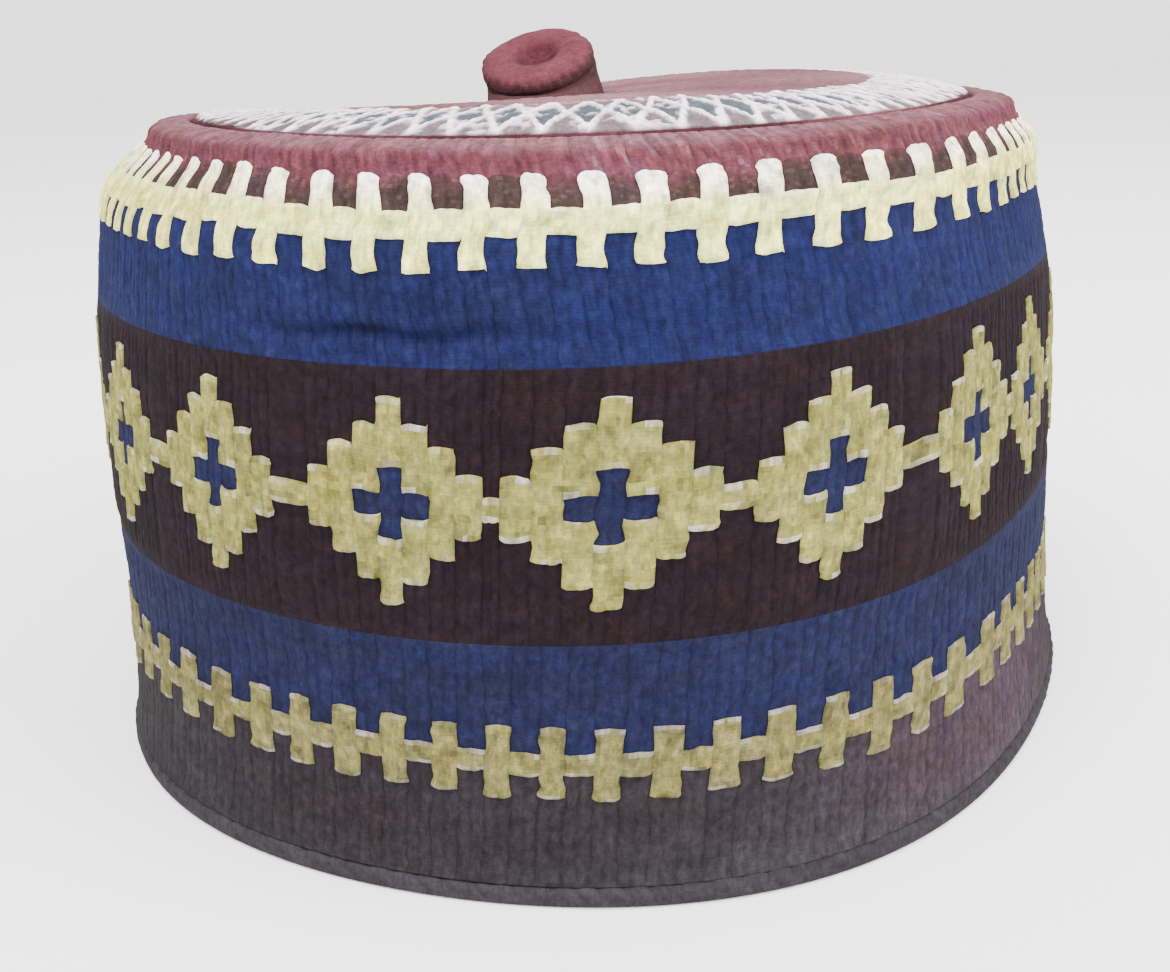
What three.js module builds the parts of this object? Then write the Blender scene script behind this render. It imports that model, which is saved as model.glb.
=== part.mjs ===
// A round, brimless cap of padded and embroidered cloth, standing on its open mouth.
// Millimetres, +Z up, the front facing -Y, with the middle of its outer box on the Z axis.
// A turn is an angle about +Z, zero at the front and growing toward +X.

import * as THREE from "three";

// Driving dimensions

const bodyRadius = 95;
const seamHeight = 112.6;
const seamRadius = 76;
const wallThickness = 3.4;
const hemHeight = 3.4;
const hemProud = 0.5;
const panelThickness = 3.2;
const crownRise = 2.36;
const seamRounding = 1.2;
const hemRounding = 0.9;
const buttonRadius = 10.8;
const buttonHeight = 7.5;
const buttonAcross = -5.5;
const clearance = 0.3;

// The rolled end of the button leans to the front and to the left, in degrees

const buttonLeanFront = 26;
const buttonLeanLeft = 9;

// Fineness of the faceted surfaces

const turnSteps = 80;
const sideSteps = 20;
const liningSteps = 11;
const roundingSteps = 3;
const crownSteps = 8;
const underCrownSteps = 3;
const buttonTurnSteps = 28;

// The outside of the side, from the table up to the groove round the top:
// up is a share of seamHeight, out a share of bodyRadius

const sideProfile = [
  { up: 0.0, out: 1.019 },
  { up: 0.107, out: 1.005 },
  { up: 0.266, out: 0.996 },
  { up: 0.488, out: 1.0 },
  { up: 0.71, out: 0.99 },
  { up: 0.853, out: 0.964 },
  { up: 0.924, out: 0.941 },
  { up: 0.968, out: 0.891 },
  { up: 0.991, out: 0.8745 },
];

// How the soft side sways out of round, as shares of the local radius, with one row
// for each number of lobes, and its low and high ends. Fade says how much of a row
// dies away toward the back, where 1 is all of it

const sway = [
  { lobes: 2, fade: 0, cosLow: 0.005, cosHigh: 0.02, sinLow: -0.037, sinHigh: -0.022 },
  { lobes: 3, fade: 1, cosLow: 0.007, cosHigh: 0.058, sinLow: 0.002, sinHigh: -0.013 },
  { lobes: 4, fade: 1, cosLow: 0.0, cosHigh: 0.0, sinLow: 0.019, sinHigh: 0.001 },
];

// How far the side leans to +X at its low and high ends, as shares of bodyRadius

const lean = { low: 0.036, high: -0.011 };

// The top has slid to +X: share is of bodyRadius, and the slide starts at "from",
// a share of the height where the groove ends

const slide = { share: 0.0307, from: 0.9 };

// The top slopes a little and sags at the back on the left: across and back are rises
// for each millimetre, rise and deep are shares of wallThickness, turn and reach are in
// degrees, and both start at "from", a share of the height where the groove ends

const slope = { across: -0.0064, back: 0.0091, rise: 0.12, from: 0.75 };
const sag = { turn: -147.7, reach: 31.7, deep: 1.41 };

// Shallow dents in the side: turn and reach are in degrees, up and tall are shares
// of seamHeight, and deep is a share of wallThickness

const dents = [
  { turn: -17, reach: 14, up: 0.775, tall: 0.035, deep: 0.3 },
  { turn: 24, reach: 18, up: 0.79, tall: 0.05, deep: 0.16 },
];

// The soft top rises near its rim and is flat in the middle, by a power of the share of
// its radius. Swells: across and back are shares of seamRadius from its middle, reach is
// the share over which a swell fades, and rise is a share of crownRise

const crownPower = 8.6;
const swells = [
  { across: 0.64, back: 0.49, reach: 0.64, rise: 0.72 },
  { across: 0.12, back: -0.92, reach: 0.52, rise: 0.61 },
  { across: -0.45, back: 0.38, reach: 0.63, rise: -1.74 },
];

// The button's outline from the crown up over its rim and down into the dimple:
// along is a share of buttonHeight, out a share of buttonRadius

const buttonProfile = [
  { along: 0.0, out: 1.03 },
  { along: 0.14, out: 1.02 },
  { along: 0.45, out: 1.01 },
  { along: 0.75, out: 1.0 },
  { along: 0.96, out: 0.92 },
  { along: 1.06, out: 0.76 },
  { along: 1.05, out: 0.58 },
  { along: 0.93, out: 0.44 },
  { along: 0.76, out: 0.34 },
  { along: 0.68, out: 0.2 },
];

// Shape functions

const radians = THREE.MathUtils.degToRad;

function sectionShare(turn, level) {
  let share = 1;
  for (const row of sway) {
    const cosPart = THREE.MathUtils.lerp(row.cosLow, row.cosHigh, level);
    const sinPart = THREE.MathUtils.lerp(row.sinLow, row.sinHigh, level);
    const lobe = cosPart * Math.cos(row.lobes * turn) + sinPart * Math.sin(row.lobes * turn);
    share += lobe * (1 - row.fade * Math.sin(turn / 2) ** 2);
  }
  return share;
}

function dentDepth(turn, level) {
  let depth = 0;
  for (const row of dents) {
    const aside = Math.atan2(Math.sin(turn - radians(row.turn)), Math.cos(turn - radians(row.turn)));
    const turnFade = Math.exp(-((aside / radians(row.reach)) ** 2));
    const upFade = Math.exp(-(((level - row.up) / row.tall) ** 2));
    depth += row.deep * wallThickness * turnFade * upFade;
  }
  return depth;
}

const settledHeight = seamHeight - wallThickness;
const crownMiddle = bodyRadius * (lean.high + slide.share);

function topLift(x, y, level) {
  const turn = Math.atan2(x - crownMiddle, -y);
  const away = Math.atan2(Math.sin(turn - radians(sag.turn)), Math.cos(turn - radians(sag.turn)));
  const share = Math.min(1, Math.hypot(x - crownMiddle, y) / seamRadius);
  const dip = sag.deep * Math.exp(-((away / radians(sag.reach)) ** 2)) * share ** 2;
  const rise = slope.across * x + slope.back * y + wallThickness * (slope.rise - dip);
  return rise * THREE.MathUtils.smoothstep(level, slope.from, 1);
}

function onSide(turn, radius, height) {
  const level = THREE.MathUtils.clamp(height / settledHeight, 0, 1);
  const out = radius * sectionShare(turn, level) - dentDepth(turn, height / seamHeight);
  const slid = slide.share * THREE.MathUtils.smoothstep(level, slide.from, 1);
  const shift = bodyRadius * (THREE.MathUtils.lerp(lean.low, lean.high, level) + slid);
  const point = new THREE.Vector3(shift + out * Math.sin(turn), -out * Math.cos(turn), height);
  point.z += topLift(point.x, point.y, level);
  return point;
}

function crownHeight(x, y) {
  const turn = Math.atan2(x - crownMiddle, -y);
  const rim = seamRadius * sectionShare(turn, 1);
  const dome = 1 - Math.min(1, Math.hypot(x - crownMiddle, y) / rim) ** crownPower;
  let rise = dome;
  for (const row of swells) {
    const across = (x - crownMiddle) / seamRadius - row.across;
    const back = y / seamRadius - row.back;
    rise += row.rise * dome * Math.exp(-(across ** 2 + back ** 2) / row.reach ** 2);
  }
  return seamHeight + crownRise * rise + topLift(x, y, 1);
}

// A quarter round about a centre, from the heading "from", given in degrees

function quarterRound(x, y, radius, from) {
  const points = [];
  for (let step = 0; step <= roundingSteps; step += 1) {
    const angle = radians(from + (90 * step) / roundingSteps);
    points.push(new THREE.Vector2(x + radius * Math.cos(angle), y + radius * Math.sin(angle)));
  }
  return points;
}

// Closed skins: each ring is a loop of points in the order of growing turn

function ringOf(steps, pointAt) {
  const ring = [];
  for (let step = 0; step < steps; step += 1) {
    ring.push(pointAt((2 * Math.PI * step) / steps));
  }
  return ring;
}

function skin(rings, closing) {
  const steps = rings[0].length;
  const positions = rings.flat().flatMap((point) => point.toArray());
  const triangles = [];
  const bands = closing === "loop" ? rings.length : rings.length - 1;
  for (let band = 0; band < bands; band += 1) {
    const low = band * steps;
    const high = ((band + 1) % rings.length) * steps;
    for (let step = 0; step < steps; step += 1) {
      const next = (step + 1) % steps;
      triangles.push(low + step, low + next, high + next);
      triangles.push(low + step, high + next, high + step);
    }
  }
  if (closing === "poles") {
    addPole(positions, triangles, rings[0], 0, true);
    addPole(positions, triangles, rings.at(-1), bands * steps, false);
  }
  const geometry = new THREE.BufferGeometry();
  geometry.setAttribute("position", new THREE.Float32BufferAttribute(positions, 3));
  geometry.setIndex(triangles);
  geometry.computeVertexNormals();
  return geometry;
}

function addPole(positions, triangles, ring, first, isLow) {
  const middle = new THREE.Vector3();
  ring.forEach((point) => middle.add(point));
  middle.divideScalar(ring.length);
  const pole = positions.length / 3;
  positions.push(...middle.toArray());
  for (let step = 0; step < ring.length; step += 1) {
    const next = (step + 1) % ring.length;
    if (isLow) {
      triangles.push(pole, first + next, first + step);
    } else {
      triangles.push(pole, first + step, first + next);
    }
  }
}

// The padded side, from above the hem to the lip of the groove

const sideBase = hemHeight + clearance;
const lipRadius = seamRadius + clearance / 2;

function outerCurve() {
  const points = sideProfile.map((row) => new THREE.Vector2(bodyRadius * row.out, seamHeight * row.up));
  const lipTop = new THREE.Vector2(lipRadius + seamRounding, seamHeight);
  return new THREE.SplineCurve([...points, lipTop]);
}

function paramAtHeight(curve, height) {
  let low = 0;
  let high = 1;
  while (high - low > 1e-6) {
    const middle = (low + high) / 2;
    if (curve.getPoint(middle).y < height) {
      low = middle;
    } else {
      high = middle;
    }
  }
  return low;
}

function sideLoop() {
  const curve = outerCurve();
  const start = paramAtHeight(curve, sideBase);
  const outside = [];
  const inside = [];
  for (let step = 0; step <= sideSteps; step += 1) {
    outside.push(curve.getPoint(start + ((1 - start) * step) / sideSteps));
  }
  const lip = quarterRound(lipRadius + seamRounding, seamHeight - seamRounding, seamRounding, 90);
  outside.push(...lip.slice(1));
  for (let step = 0; step <= liningSteps; step += 1) {
    const param = 1 - ((1 - start) * step) / liningSteps;
    const tangent = curve.getTangent(param);
    const inward = new THREE.Vector2(-tangent.y, tangent.x).multiplyScalar(wallThickness);
    inside.push(curve.getPoint(param).add(inward));
  }
  inside[0].x = lipRadius;
  inside[0].y = seamHeight - wallThickness;
  inside[liningSteps].y = sideBase;
  return [...outside, ...inside];
}

function sideWall() {
  const rings = sideLoop().map((point) => ringOf(turnSteps, (turn) => onSide(turn, point.x, point.y)));
  return skin(rings, "loop");
}

// The folded strip round the mouth, flat where the cap stands on it

function hemBinding() {
  const curve = outerCurve();
  const foot = curve.getPoint(paramAtHeight(curve, sideBase)).x;
  const outer = foot + hemProud;
  const inner = foot - wallThickness - hemProud;
  const loop = [
    ...quarterRound(outer - hemRounding, hemRounding, hemRounding, -90),
    ...quarterRound(outer - hemRounding, hemHeight - hemRounding, hemRounding, 0),
    ...quarterRound(inner + hemRounding, hemHeight - hemRounding, hemRounding, 90),
    ...quarterRound(inner + hemRounding, hemRounding, hemRounding, 180),
  ];
  const rings = loop.map((point) => ringOf(turnSteps, (turn) => onSide(turn, point.x, point.y)));
  return skin(rings, "loop");
}

// The domed panel inside the groove

function topPanel() {
  const rimRadius = seamRadius - clearance / 2;
  const rings = [];
  const below = (share) => (turn) => onCrown(turn, rimRadius * share, -panelThickness);
  for (let step = 1; step <= underCrownSteps; step += 1) {
    rings.push(ringOf(turnSteps, below(step / underCrownSteps)));
  }
  for (let step = 0; step <= roundingSteps; step += 1) {
    const angle = radians((90 * step) / roundingSteps);
    const inset = seamRounding * (1 - Math.cos(angle));
    const drop = seamRounding * (1 - Math.sin(angle));
    rings.push(ringOf(turnSteps, (turn) => onCrown(turn, rimRadius - inset, -drop)));
  }
  for (let step = 1; step < crownSteps; step += 1) {
    const share = (rimRadius - seamRounding) * (1 - step / crownSteps);
    rings.push(ringOf(turnSteps, (turn) => onCrown(turn, share, 0)));
  }
  return skin(rings, "poles");
}

function onCrown(turn, radius, lift) {
  const point = onSide(turn, radius, seamHeight);
  point.z = crownHeight(point.x, point.y) + lift;
  return point;
}

// The rolled stub on the middle of the top: its foot follows the crown,
// and its rim is level in a frame that leans to the front and to the left

function topButton() {
  const foot = new THREE.Vector3(buttonAcross, 0, crownHeight(buttonAcross, 0) + clearance);
  const turned = new THREE.Euler(radians(buttonLeanFront), radians(-buttonLeanLeft), 0);
  const rings = buttonProfile.map((row) =>
    ringOf(buttonTurnSteps, (turn) => {
      const out = buttonRadius * row.out;
      const flat = new THREE.Vector3(out * Math.sin(turn), -out * Math.cos(turn), 0);
      const leaning = flat.clone().setZ(buttonHeight * (row.along - 1)).applyEuler(turned);
      leaning.z += buttonHeight;
      leaning.x -= buttonHeight * Math.sin(radians(buttonLeanLeft));
      const upright = flat.clone().add(foot);
      upright.z = crownHeight(upright.x, upright.y) + clearance + buttonHeight * row.along;
      const blend = THREE.MathUtils.smoothstep(row.along, 0, 0.8);
      return upright.lerp(leaning.add(foot), blend);
    }),
  );
  return skin(rings, "poles");
}

// The assembly, moved so that the middle of its outer box stands on the Z axis

const pieces = [
  { name: "hem_binding", make: hemBinding, color: 0x4d4a50, roughness: 0.9 },
  { name: "side_wall", make: sideWall, color: 0x2b3774, roughness: 0.92 },
  { name: "top_panel", make: topPanel, color: 0x7a3244, roughness: 0.92 },
  { name: "top_button", make: topButton, color: 0x8a3444, roughness: 0.9 },
];

const group = new THREE.Group();

for (const piece of pieces) {
  const material = new THREE.MeshStandardMaterial({
    color: piece.color,
    roughness: piece.roughness,
    metalness: 0,
  });
  const mesh = new THREE.Mesh(piece.make(), material);
  mesh.name = piece.name;
  group.add(mesh);
}

const middle = new THREE.Box3().setFromObject(group, true).getCenter(new THREE.Vector3());

for (const mesh of group.children) {
  mesh.geometry.translate(-middle.x, -middle.y, 0);
}

export default group;
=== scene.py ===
"""Looks of a round, brimless cap of padded and embroidered cloth.

Shapes are worked out in millimetres, in the maker's frame of the part's own formulas: +Z up, the
front facing -Y, and a turn as an angle about +Z, zero at the front and growing toward +X. They
become metres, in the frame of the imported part, when their meshes are made.
"""

import logging
import math
from dataclasses import dataclass
from enum import Enum

import bpy
import numpy as np
from mathutils import Matrix, Vector


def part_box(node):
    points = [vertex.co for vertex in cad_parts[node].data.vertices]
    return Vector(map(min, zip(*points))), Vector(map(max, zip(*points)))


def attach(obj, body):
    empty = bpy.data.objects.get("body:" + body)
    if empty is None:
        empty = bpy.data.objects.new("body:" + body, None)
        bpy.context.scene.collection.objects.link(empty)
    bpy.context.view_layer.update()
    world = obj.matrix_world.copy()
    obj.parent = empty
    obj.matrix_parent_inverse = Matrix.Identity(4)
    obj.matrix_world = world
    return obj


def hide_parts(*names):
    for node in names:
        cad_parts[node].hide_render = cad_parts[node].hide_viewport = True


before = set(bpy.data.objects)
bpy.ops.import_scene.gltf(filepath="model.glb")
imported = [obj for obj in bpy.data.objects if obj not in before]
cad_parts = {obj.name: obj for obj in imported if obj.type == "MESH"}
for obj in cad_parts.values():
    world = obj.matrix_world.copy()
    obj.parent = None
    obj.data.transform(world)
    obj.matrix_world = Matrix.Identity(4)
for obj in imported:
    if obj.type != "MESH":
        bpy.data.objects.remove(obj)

Array = np.ndarray
Socket = bpy.types.NodeSocket

LOG = logging.getLogger("cap")
METRES = 0.001
MAP_LENGTH = 100.0
BODY = "root"
RIM_POINTS = 80

# The least step of a map between two rows, in millimetres
LEAST_STEP = 0.01

# Layers of soft hills, each with its height and its knots round and up
Hills = tuple[tuple[float, int, int], ...]


# Threads and cloths

class Thread(Enum):
    """The colours of thread and cloth in the cap, as sRGB out of 255, each with its chart letter."""

    CREAM = ("c", (116, 112, 61))
    # The straw thread is a paler cream, made paler still with painted top light.
    TOPLIT_STRAW = ("p", (210, 207, 126))
    BLUE = ("b", (23, 27, 59))
    NAVY = ("n", (25, 27, 50))
    DARK = ("k", (26, 18, 22))
    FOOT = ("m", (36, 28, 33))
    BROWN = ("u", (50, 38, 36))
    MAROON = ("r", (84, 46, 53))
    WHITE = ("w", (240, 231, 236))
    LINING = ("l", (58, 32, 38))
    BINDING = ("g", (46, 43, 46))

    def __init__(self, letter: str, colour: tuple[int, int, int]) -> None:
        """Keeps the chart letter and the colour."""
        self.letter = letter
        self.colour = colour

    @property
    def linear(self) -> Array:
        """The colour as linear light, from 0 to 1."""
        return linear_light(self.colour)


def linear_light(colour: tuple[int, int, int]) -> Array:
    """Turns sRGB out of 255 into linear light.

    Args:
        colour: Red, green and blue.

    Returns:
        Shares from 0 to 1, by the sRGB curve: a short straight foot and a power of 2.4 above it.
    """
    share = np.array(colour, float) / 255.0
    return np.where(share <= 0.04045, share / 12.92, ((share + 0.055) / 1.055) ** 2.4)


# Handwork is never even

def eased(share: Array) -> Array:
    """The smooth step 3s² - 2s³ of a share from 0 to 1."""
    return share * share * (3 - 2 * share)


def smooth_step(value: Array, low: float, high: float) -> Array:
    """The smooth step of where a value stands between two others.

    Args:
        value: The values.
        low: Where the step starts.
        high: Where the step ends.

    Returns:
        0 before low, 1 after high, and the eased share between them.
    """
    return eased(np.clip((value - low) / (high - low), 0, 1))


def hump(value: Array, middle: float, reach: float) -> Array:
    """The bell exp(-((value - middle) / reach)²)."""
    return np.exp(-(((value - middle) / reach) ** 2))


def whole(place: Array) -> Array:
    """The whole number at or below each place."""
    return np.floor(place).astype(int)


def off_middle(place: Array) -> Array:
    """How far each place is from the middle of its unit: 0 there, and 1 at the unit's ends."""
    return np.abs(2 * (place - whole(place)) - 1)


def nearest_turn(turn: Array) -> Array:
    """The same turn, from -π to π."""
    return np.arctan2(np.sin(turn), np.cos(turn))


def mixed(first: Array | float, second: Array, share: Array) -> Array:
    """The first colours or points moved toward the second by a share of the way for each."""
    return first + (second - first) * share[..., None]


def summed(steps: Array) -> Array:
    """The running sum of steps, from zero."""
    return np.concatenate([[0], np.cumsum(steps)])


class Unevenness:
    """Seeded unevenness over a grid that closes on itself round the cap."""

    def __init__(self, seed: int, around: Array, along: Array) -> None:
        """Starts the random draws from a seed, over the grid's shares round and up."""
        self.draws = np.random.default_rng(seed)
        self.move(around, along)

    def move(self, around: Array, along: Array) -> None:
        """Goes on with the same draws over another grid.

        Args:
            around: Each place's share of the way round, where 1 is 0 again.
            along: Its share of the way up, from 0 to 1.
        """
        self.around = around
        self.along = np.clip(along, 0, 1)

    def between(self, rises: int) -> tuple[Array, Array]:
        """Finds each place between the knots up the grid.

        Args:
            rises: How many knots there are.

        Returns:
            The knot below each place, and the eased share from it to the next one.
        """
        level = self.along * rises
        low = whole(level)
        return low, eased(level - low)

    def hills(self, layers: Hills) -> Array:
        """Soft hills between random knots.

        Args:
            layers: Each layer's height, and how many knots it has round and up.

        Returns:
            The sum of the layers: each is its height times the four nearest knots, from -1 to 1,
            blended by the eased share to each.
        """
        total = 0.0
        for height, turns, rises in layers:
            lattice = self.draws.uniform(-1, 1, (rises + 2, turns))
            place = self.around * turns
            left = whole(place)
            aside = eased(place - left)
            low, above = self.between(rises)
            first, second = left % turns, (left + 1) % turns
            bottom = lattice[low, first] * (1 - aside) + lattice[low, second] * aside
            top = lattice[low + 1, first] * (1 - aside) + lattice[low + 1, second] * aside
            total = total + height * (bottom * (1 - above) + top * above)
        return total

    def stepped(self, column: Array, columns: int, rises: int) -> Array:
        """Values that jump from column to column and drift softly along each one.

        Args:
            column: The whole number of each place's column.
            columns: How many columns there are.
            rises: How many knots there are up each.

        Returns:
            Values from -1 to 1.
        """
        lattice = self.draws.uniform(-1, 1, (rises + 2, columns))
        low, above = self.between(rises)
        index = column % columns
        return lattice[low, index] * (1 - above) + lattice[low + 1, index] * above

    def cells(self, column: Array, row: Array, counts: tuple[int, int]) -> Array:
        """One value for each cell of a column and a row.

        Args:
            column: The whole number of each place's column.
            row: The whole number of each place's row.
            counts: How many columns and rows there are before they repeat.

        Returns:
            Values from -1 to 1.
        """
        columns, rows = counts
        lattice = self.draws.uniform(-1, 1, (rows, columns))
        return lattice[row % rows, column % columns]


# The plain form, as the part's own source has it

@dataclass(frozen=True)
class CapForm:
    """The cap's form without its stitches, with the same named values as the part."""

    body_radius: float = 95.0
    seam_height: float = 112.6
    seam_radius: float = 76.0
    wall_thickness: float = 3.4
    hem_height: float = 3.4
    hem_proud: float = 0.5
    panel_thickness: float = 3.2
    crown_rise: float = 2.36
    crown_power: float = 8.6
    seam_rounding: float = 1.2
    hem_rounding: float = 0.9
    button_radius: float = 10.8
    button_height: float = 7.5
    button_across: float = -5.5
    button_lean_front: float = 26.0
    button_lean_left: float = 9.0
    clearance: float = 0.3
    lean_low: float = 0.036
    lean_high: float = -0.011
    slide_share: float = 0.0307
    slide_from: float = 0.9
    slope_across: float = -0.0064
    slope_back: float = 0.0091
    slope_rise: float = 0.12
    slope_from: float = 0.75
    sag_turn: float = -147.7
    sag_reach: float = 31.7
    sag_depth: float = 1.41

    # Up as a share of the seam's height, and out as a share of the body's radius
    side_rows: tuple = (
        (0.0, 1.019),
        (0.107, 1.005),
        (0.266, 0.996),
        (0.488, 1.0),
        (0.71, 0.99),
        (0.853, 0.964),
        (0.924, 0.941),
        (0.968, 0.891),
        (0.991, 0.8745),
    )
    # Lobes, fade toward the back, then the cosine and sine parts at the low and high ends
    sway_rows: tuple = (
        (2, 0, 0.005, 0.02, -0.037, -0.022),
        (3, 1, 0.007, 0.058, 0.002, -0.013),
        (4, 1, 0.0, 0.0, 0.019, 0.001),
    )
    # Turn and reach in degrees, up and tall as shares of height, deep as a share of the wall
    dent_rows: tuple = ((-17, 14, 0.775, 0.035, 0.3), (24, 18, 0.79, 0.05, 0.16))
    # Across, back and reach as shares of the seam's radius, rise as a share of the crown's
    swell_rows: tuple = (
        (0.64, 0.49, 0.64, 0.72),
        (0.12, -0.92, 0.52, 0.61),
        (-0.45, 0.38, 0.63, -1.74),
    )

    @property
    def lip_radius(self) -> float:
        """The radius of the wall's lip, at the groove."""
        return self.seam_radius + self.clearance / 2

    @property
    def side_base(self) -> float:
        """The height where the wall starts, just over the hem."""
        return self.hem_height + self.clearance

    def section_share(self, turn: Array, level: Array) -> Array:
        """How far out of round the side is.

        Args:
            turn: The turn, in radians.
            level: The height as a share of the seam's.

        Returns:
            One, plus a cosine and a sine for each row of lobes, blended up the side and faded
            toward the back.
        """
        share = 1.0
        for lobes, fade, cos_low, cos_high, sin_low, sin_high in self.sway_rows:
            cos_part = cos_low + (cos_high - cos_low) * level
            sin_part = sin_low + (sin_high - sin_low) * level
            lobe = cos_part * np.cos(lobes * turn) + sin_part * np.sin(lobes * turn)
            share = share + lobe * (1 - fade * np.sin(turn / 2) ** 2)
        return share

    def dent_depth(self, turn: Array, level: Array) -> Array:
        """How deep the shallow dents of the side are.

        Args:
            turn: The turn, in radians.
            level: The height as a share of the seam's.

        Returns:
            Millimetres: for each dent, a bell in turn times a bell in height.
        """
        depth = 0.0
        for centre, reach, up, tall, deep in self.dent_rows:
            aside = nearest_turn(turn - math.radians(centre))
            bell = hump(aside, 0, math.radians(reach)) * hump(level, up, tall)
            depth = depth + deep * self.wall_thickness * bell
        return depth

    @property
    def settled_height(self) -> float:
        """The height where the groove ends, above which the side sways and leans no further."""
        return self.seam_height - self.wall_thickness

    @property
    def crown_middle(self) -> float:
        """The x of the top's middle."""
        return self.body_radius * (self.lean_high + self.slide_share)

    def top_lift(self, x: Array, y: Array, level: Array) -> Array:
        """How far the sloping, sagging top is lifted off its plain height.

        Args:
            x: Across.
            y: Back.
            level: The height as a share of the settled height.

        Returns:
            Millimetres: a slope, less a bell in turn that grows with the squared share of the
            radius, both taken on by a smooth step up the side.
        """
        away = nearest_turn(np.arctan2(x - self.crown_middle, -y) - math.radians(self.sag_turn))
        share = np.minimum(1, np.hypot(x - self.crown_middle, y) / self.seam_radius)
        dip = self.sag_depth * hump(away, 0, math.radians(self.sag_reach)) * share**2
        rise = self.slope_across * x + self.slope_back * y + self.wall_thickness * (self.slope_rise - dip)
        return rise * smooth_step(level, self.slope_from, 1)

    def on_side(self, turn: Array, radius: Array, height: Array) -> Array:
        """Places points by turn, radius and height, swayed and leaning as the side is.

        Args:
            turn: The turn, in radians.
            radius: The radius before the side's sway.
            height: The height over the table.

        Returns:
            Points, with x, y and z in the last axis.
        """
        level = np.clip(height / self.settled_height, 0, 1)
        out = radius * self.section_share(turn, level) - self.dent_depth(turn, height / self.seam_height)
        slid = self.slide_share * smooth_step(level, self.slide_from, 1)
        shift = self.body_radius * (self.lean_low + (self.lean_high - self.lean_low) * level + slid)
        x = shift + out * np.sin(turn)
        y = -out * np.cos(turn)
        return np.stack([x, y, height + self.top_lift(x, y, level)], -1)

    def crown_height(self, x: Array, y: Array) -> Array:
        """The height of the soft top.

        Args:
            x: Across.
            y: Back.

        Returns:
            Millimetres: a flat dome that is level at the groove, with a bell for each swell, on
            the sloping, sagging top.
        """
        aside = x - self.crown_middle
        turn = np.arctan2(aside, -y)
        rim = self.seam_radius * self.section_share(turn, 1.0)
        dome = 1 - np.minimum(1, np.hypot(aside, y) / rim) ** self.crown_power
        rise = dome
        for across, back, reach, height in self.swell_rows:
            apart = (aside / self.seam_radius - across) ** 2 + (y / self.seam_radius - back) ** 2
            rise = rise + height * dome * np.exp(-apart / reach**2)
        return self.seam_height + self.crown_rise * rise + self.top_lift(x, y, 1.0)

    def on_crown(self, turn: Array, radius: Array, lift: Array) -> Array:
        """Places points on the top.

        Args:
            turn: The turn, in radians.
            radius: The radius before the side's sway.
            lift: The height over the top.

        Returns:
            Points, with x, y and z in the last axis.
        """
        points = self.on_side(turn, radius, self.seam_height + 0 * (turn + radius))
        points[..., 2] = self.crown_height(points[..., 0], points[..., 1]) + lift
        return points


@dataclass(frozen=True)
class SideProfile:
    """The side's outline, by its length from the wall's foot, with the inner face beside it."""

    length: Array
    radius: Array
    height: Array
    inner_radius: Array
    inner_height: Array
    seam_length: float

    @classmethod
    def of(cls, form: CapForm, fineness: int = 400) -> "SideProfile":
        """Draws the outline of a form.

        Args:
            form: The plain form.
            fineness: How many points are between two rows of its table.

        Returns:
            The outline from the wall's foot to the top of the lip, an even spline through the
            table's rows, then a quarter round into the groove and down it. The inner face is one
            wall's thickness along the normal, as far as the top of the lip.
        """
        rows = [(form.body_radius * out, form.seam_height * up) for up, out in form.side_rows]
        rows.append((form.lip_radius + form.seam_rounding, form.seam_height))
        curve = even_spline(np.array(rows), fineness)
        curve = curve[curve[:, 1] >= form.side_base]
        step = np.gradient(curve, axis=0)
        step /= np.linalg.norm(step, axis=1)[:, None]
        inner = curve + np.stack([-step[:, 1], step[:, 0]], 1) * form.wall_thickness
        angle = np.linspace(math.pi / 2, math.pi, fineness)[1:]
        across = form.lip_radius + form.seam_rounding * (1 + np.cos(angle))
        upward = form.seam_height - form.seam_rounding * (1 - np.sin(angle))
        groove = [[form.lip_radius, form.seam_height - form.wall_thickness]]
        outer = np.concatenate([curve, np.stack([across, upward], 1), groove])
        length = summed(np.linalg.norm(np.diff(outer, axis=0), axis=1))
        seam = float(length[len(curve) - 1])
        return cls(length, outer[:, 0], outer[:, 1], inner[:, 0], inner[:, 1], seam)

    def at(self, length: Array) -> tuple[Array, Array]:
        """Radius and height on the outer face, a length up from the foot."""
        return np.interp(length, self.length, self.radius), np.interp(length, self.length, self.height)

    def inside(self, length: Array) -> tuple[Array, Array]:
        """Radius and height on the inner face, beside that length of the outer one."""
        known = self.length[: len(self.inner_radius)]
        return np.interp(length, known, self.inner_radius), np.interp(length, known, self.inner_height)

    def length_at(self, height: float) -> float:
        """The length from the foot to a height below the top of the lip."""
        known = len(self.inner_radius)
        return float(np.interp(height, self.height[:known], self.length[:known]))


def even_spline(points: Array, fineness: int) -> Array:
    """A smooth curve through points: between two of them, the cubic whose ends have half of the
    step between their neighbours as slopes, with the end points doubled.

    Args:
        points: The points, one in each row.
        fineness: How many steps are between two points.

    Returns:
        The curve's points, with both ends.
    """
    ends = np.concatenate([points[:1], points, points[-1:]])
    share = np.arange(fineness)[:, None] / fineness
    spans = []
    for before, start, end, after in zip(ends, ends[1:], ends[2:], ends[3:]):
        out_slope = (end - before) / 2
        in_slope = (after - start) / 2
        cubic = (2 * start - 2 * end + out_slope + in_slope) * share**3
        square = (3 * end - 3 * start - 2 * out_slope - in_slope) * share**2
        spans.append(cubic + square + out_slope * share + start)
    return np.concatenate([*spans, points[-1:]])


# Grids and meshes

class Closing(Enum):
    """How a grid that closes round the cap is closed in its other direction."""

    LOOP = "loop"
    POLES = "poles"


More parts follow.
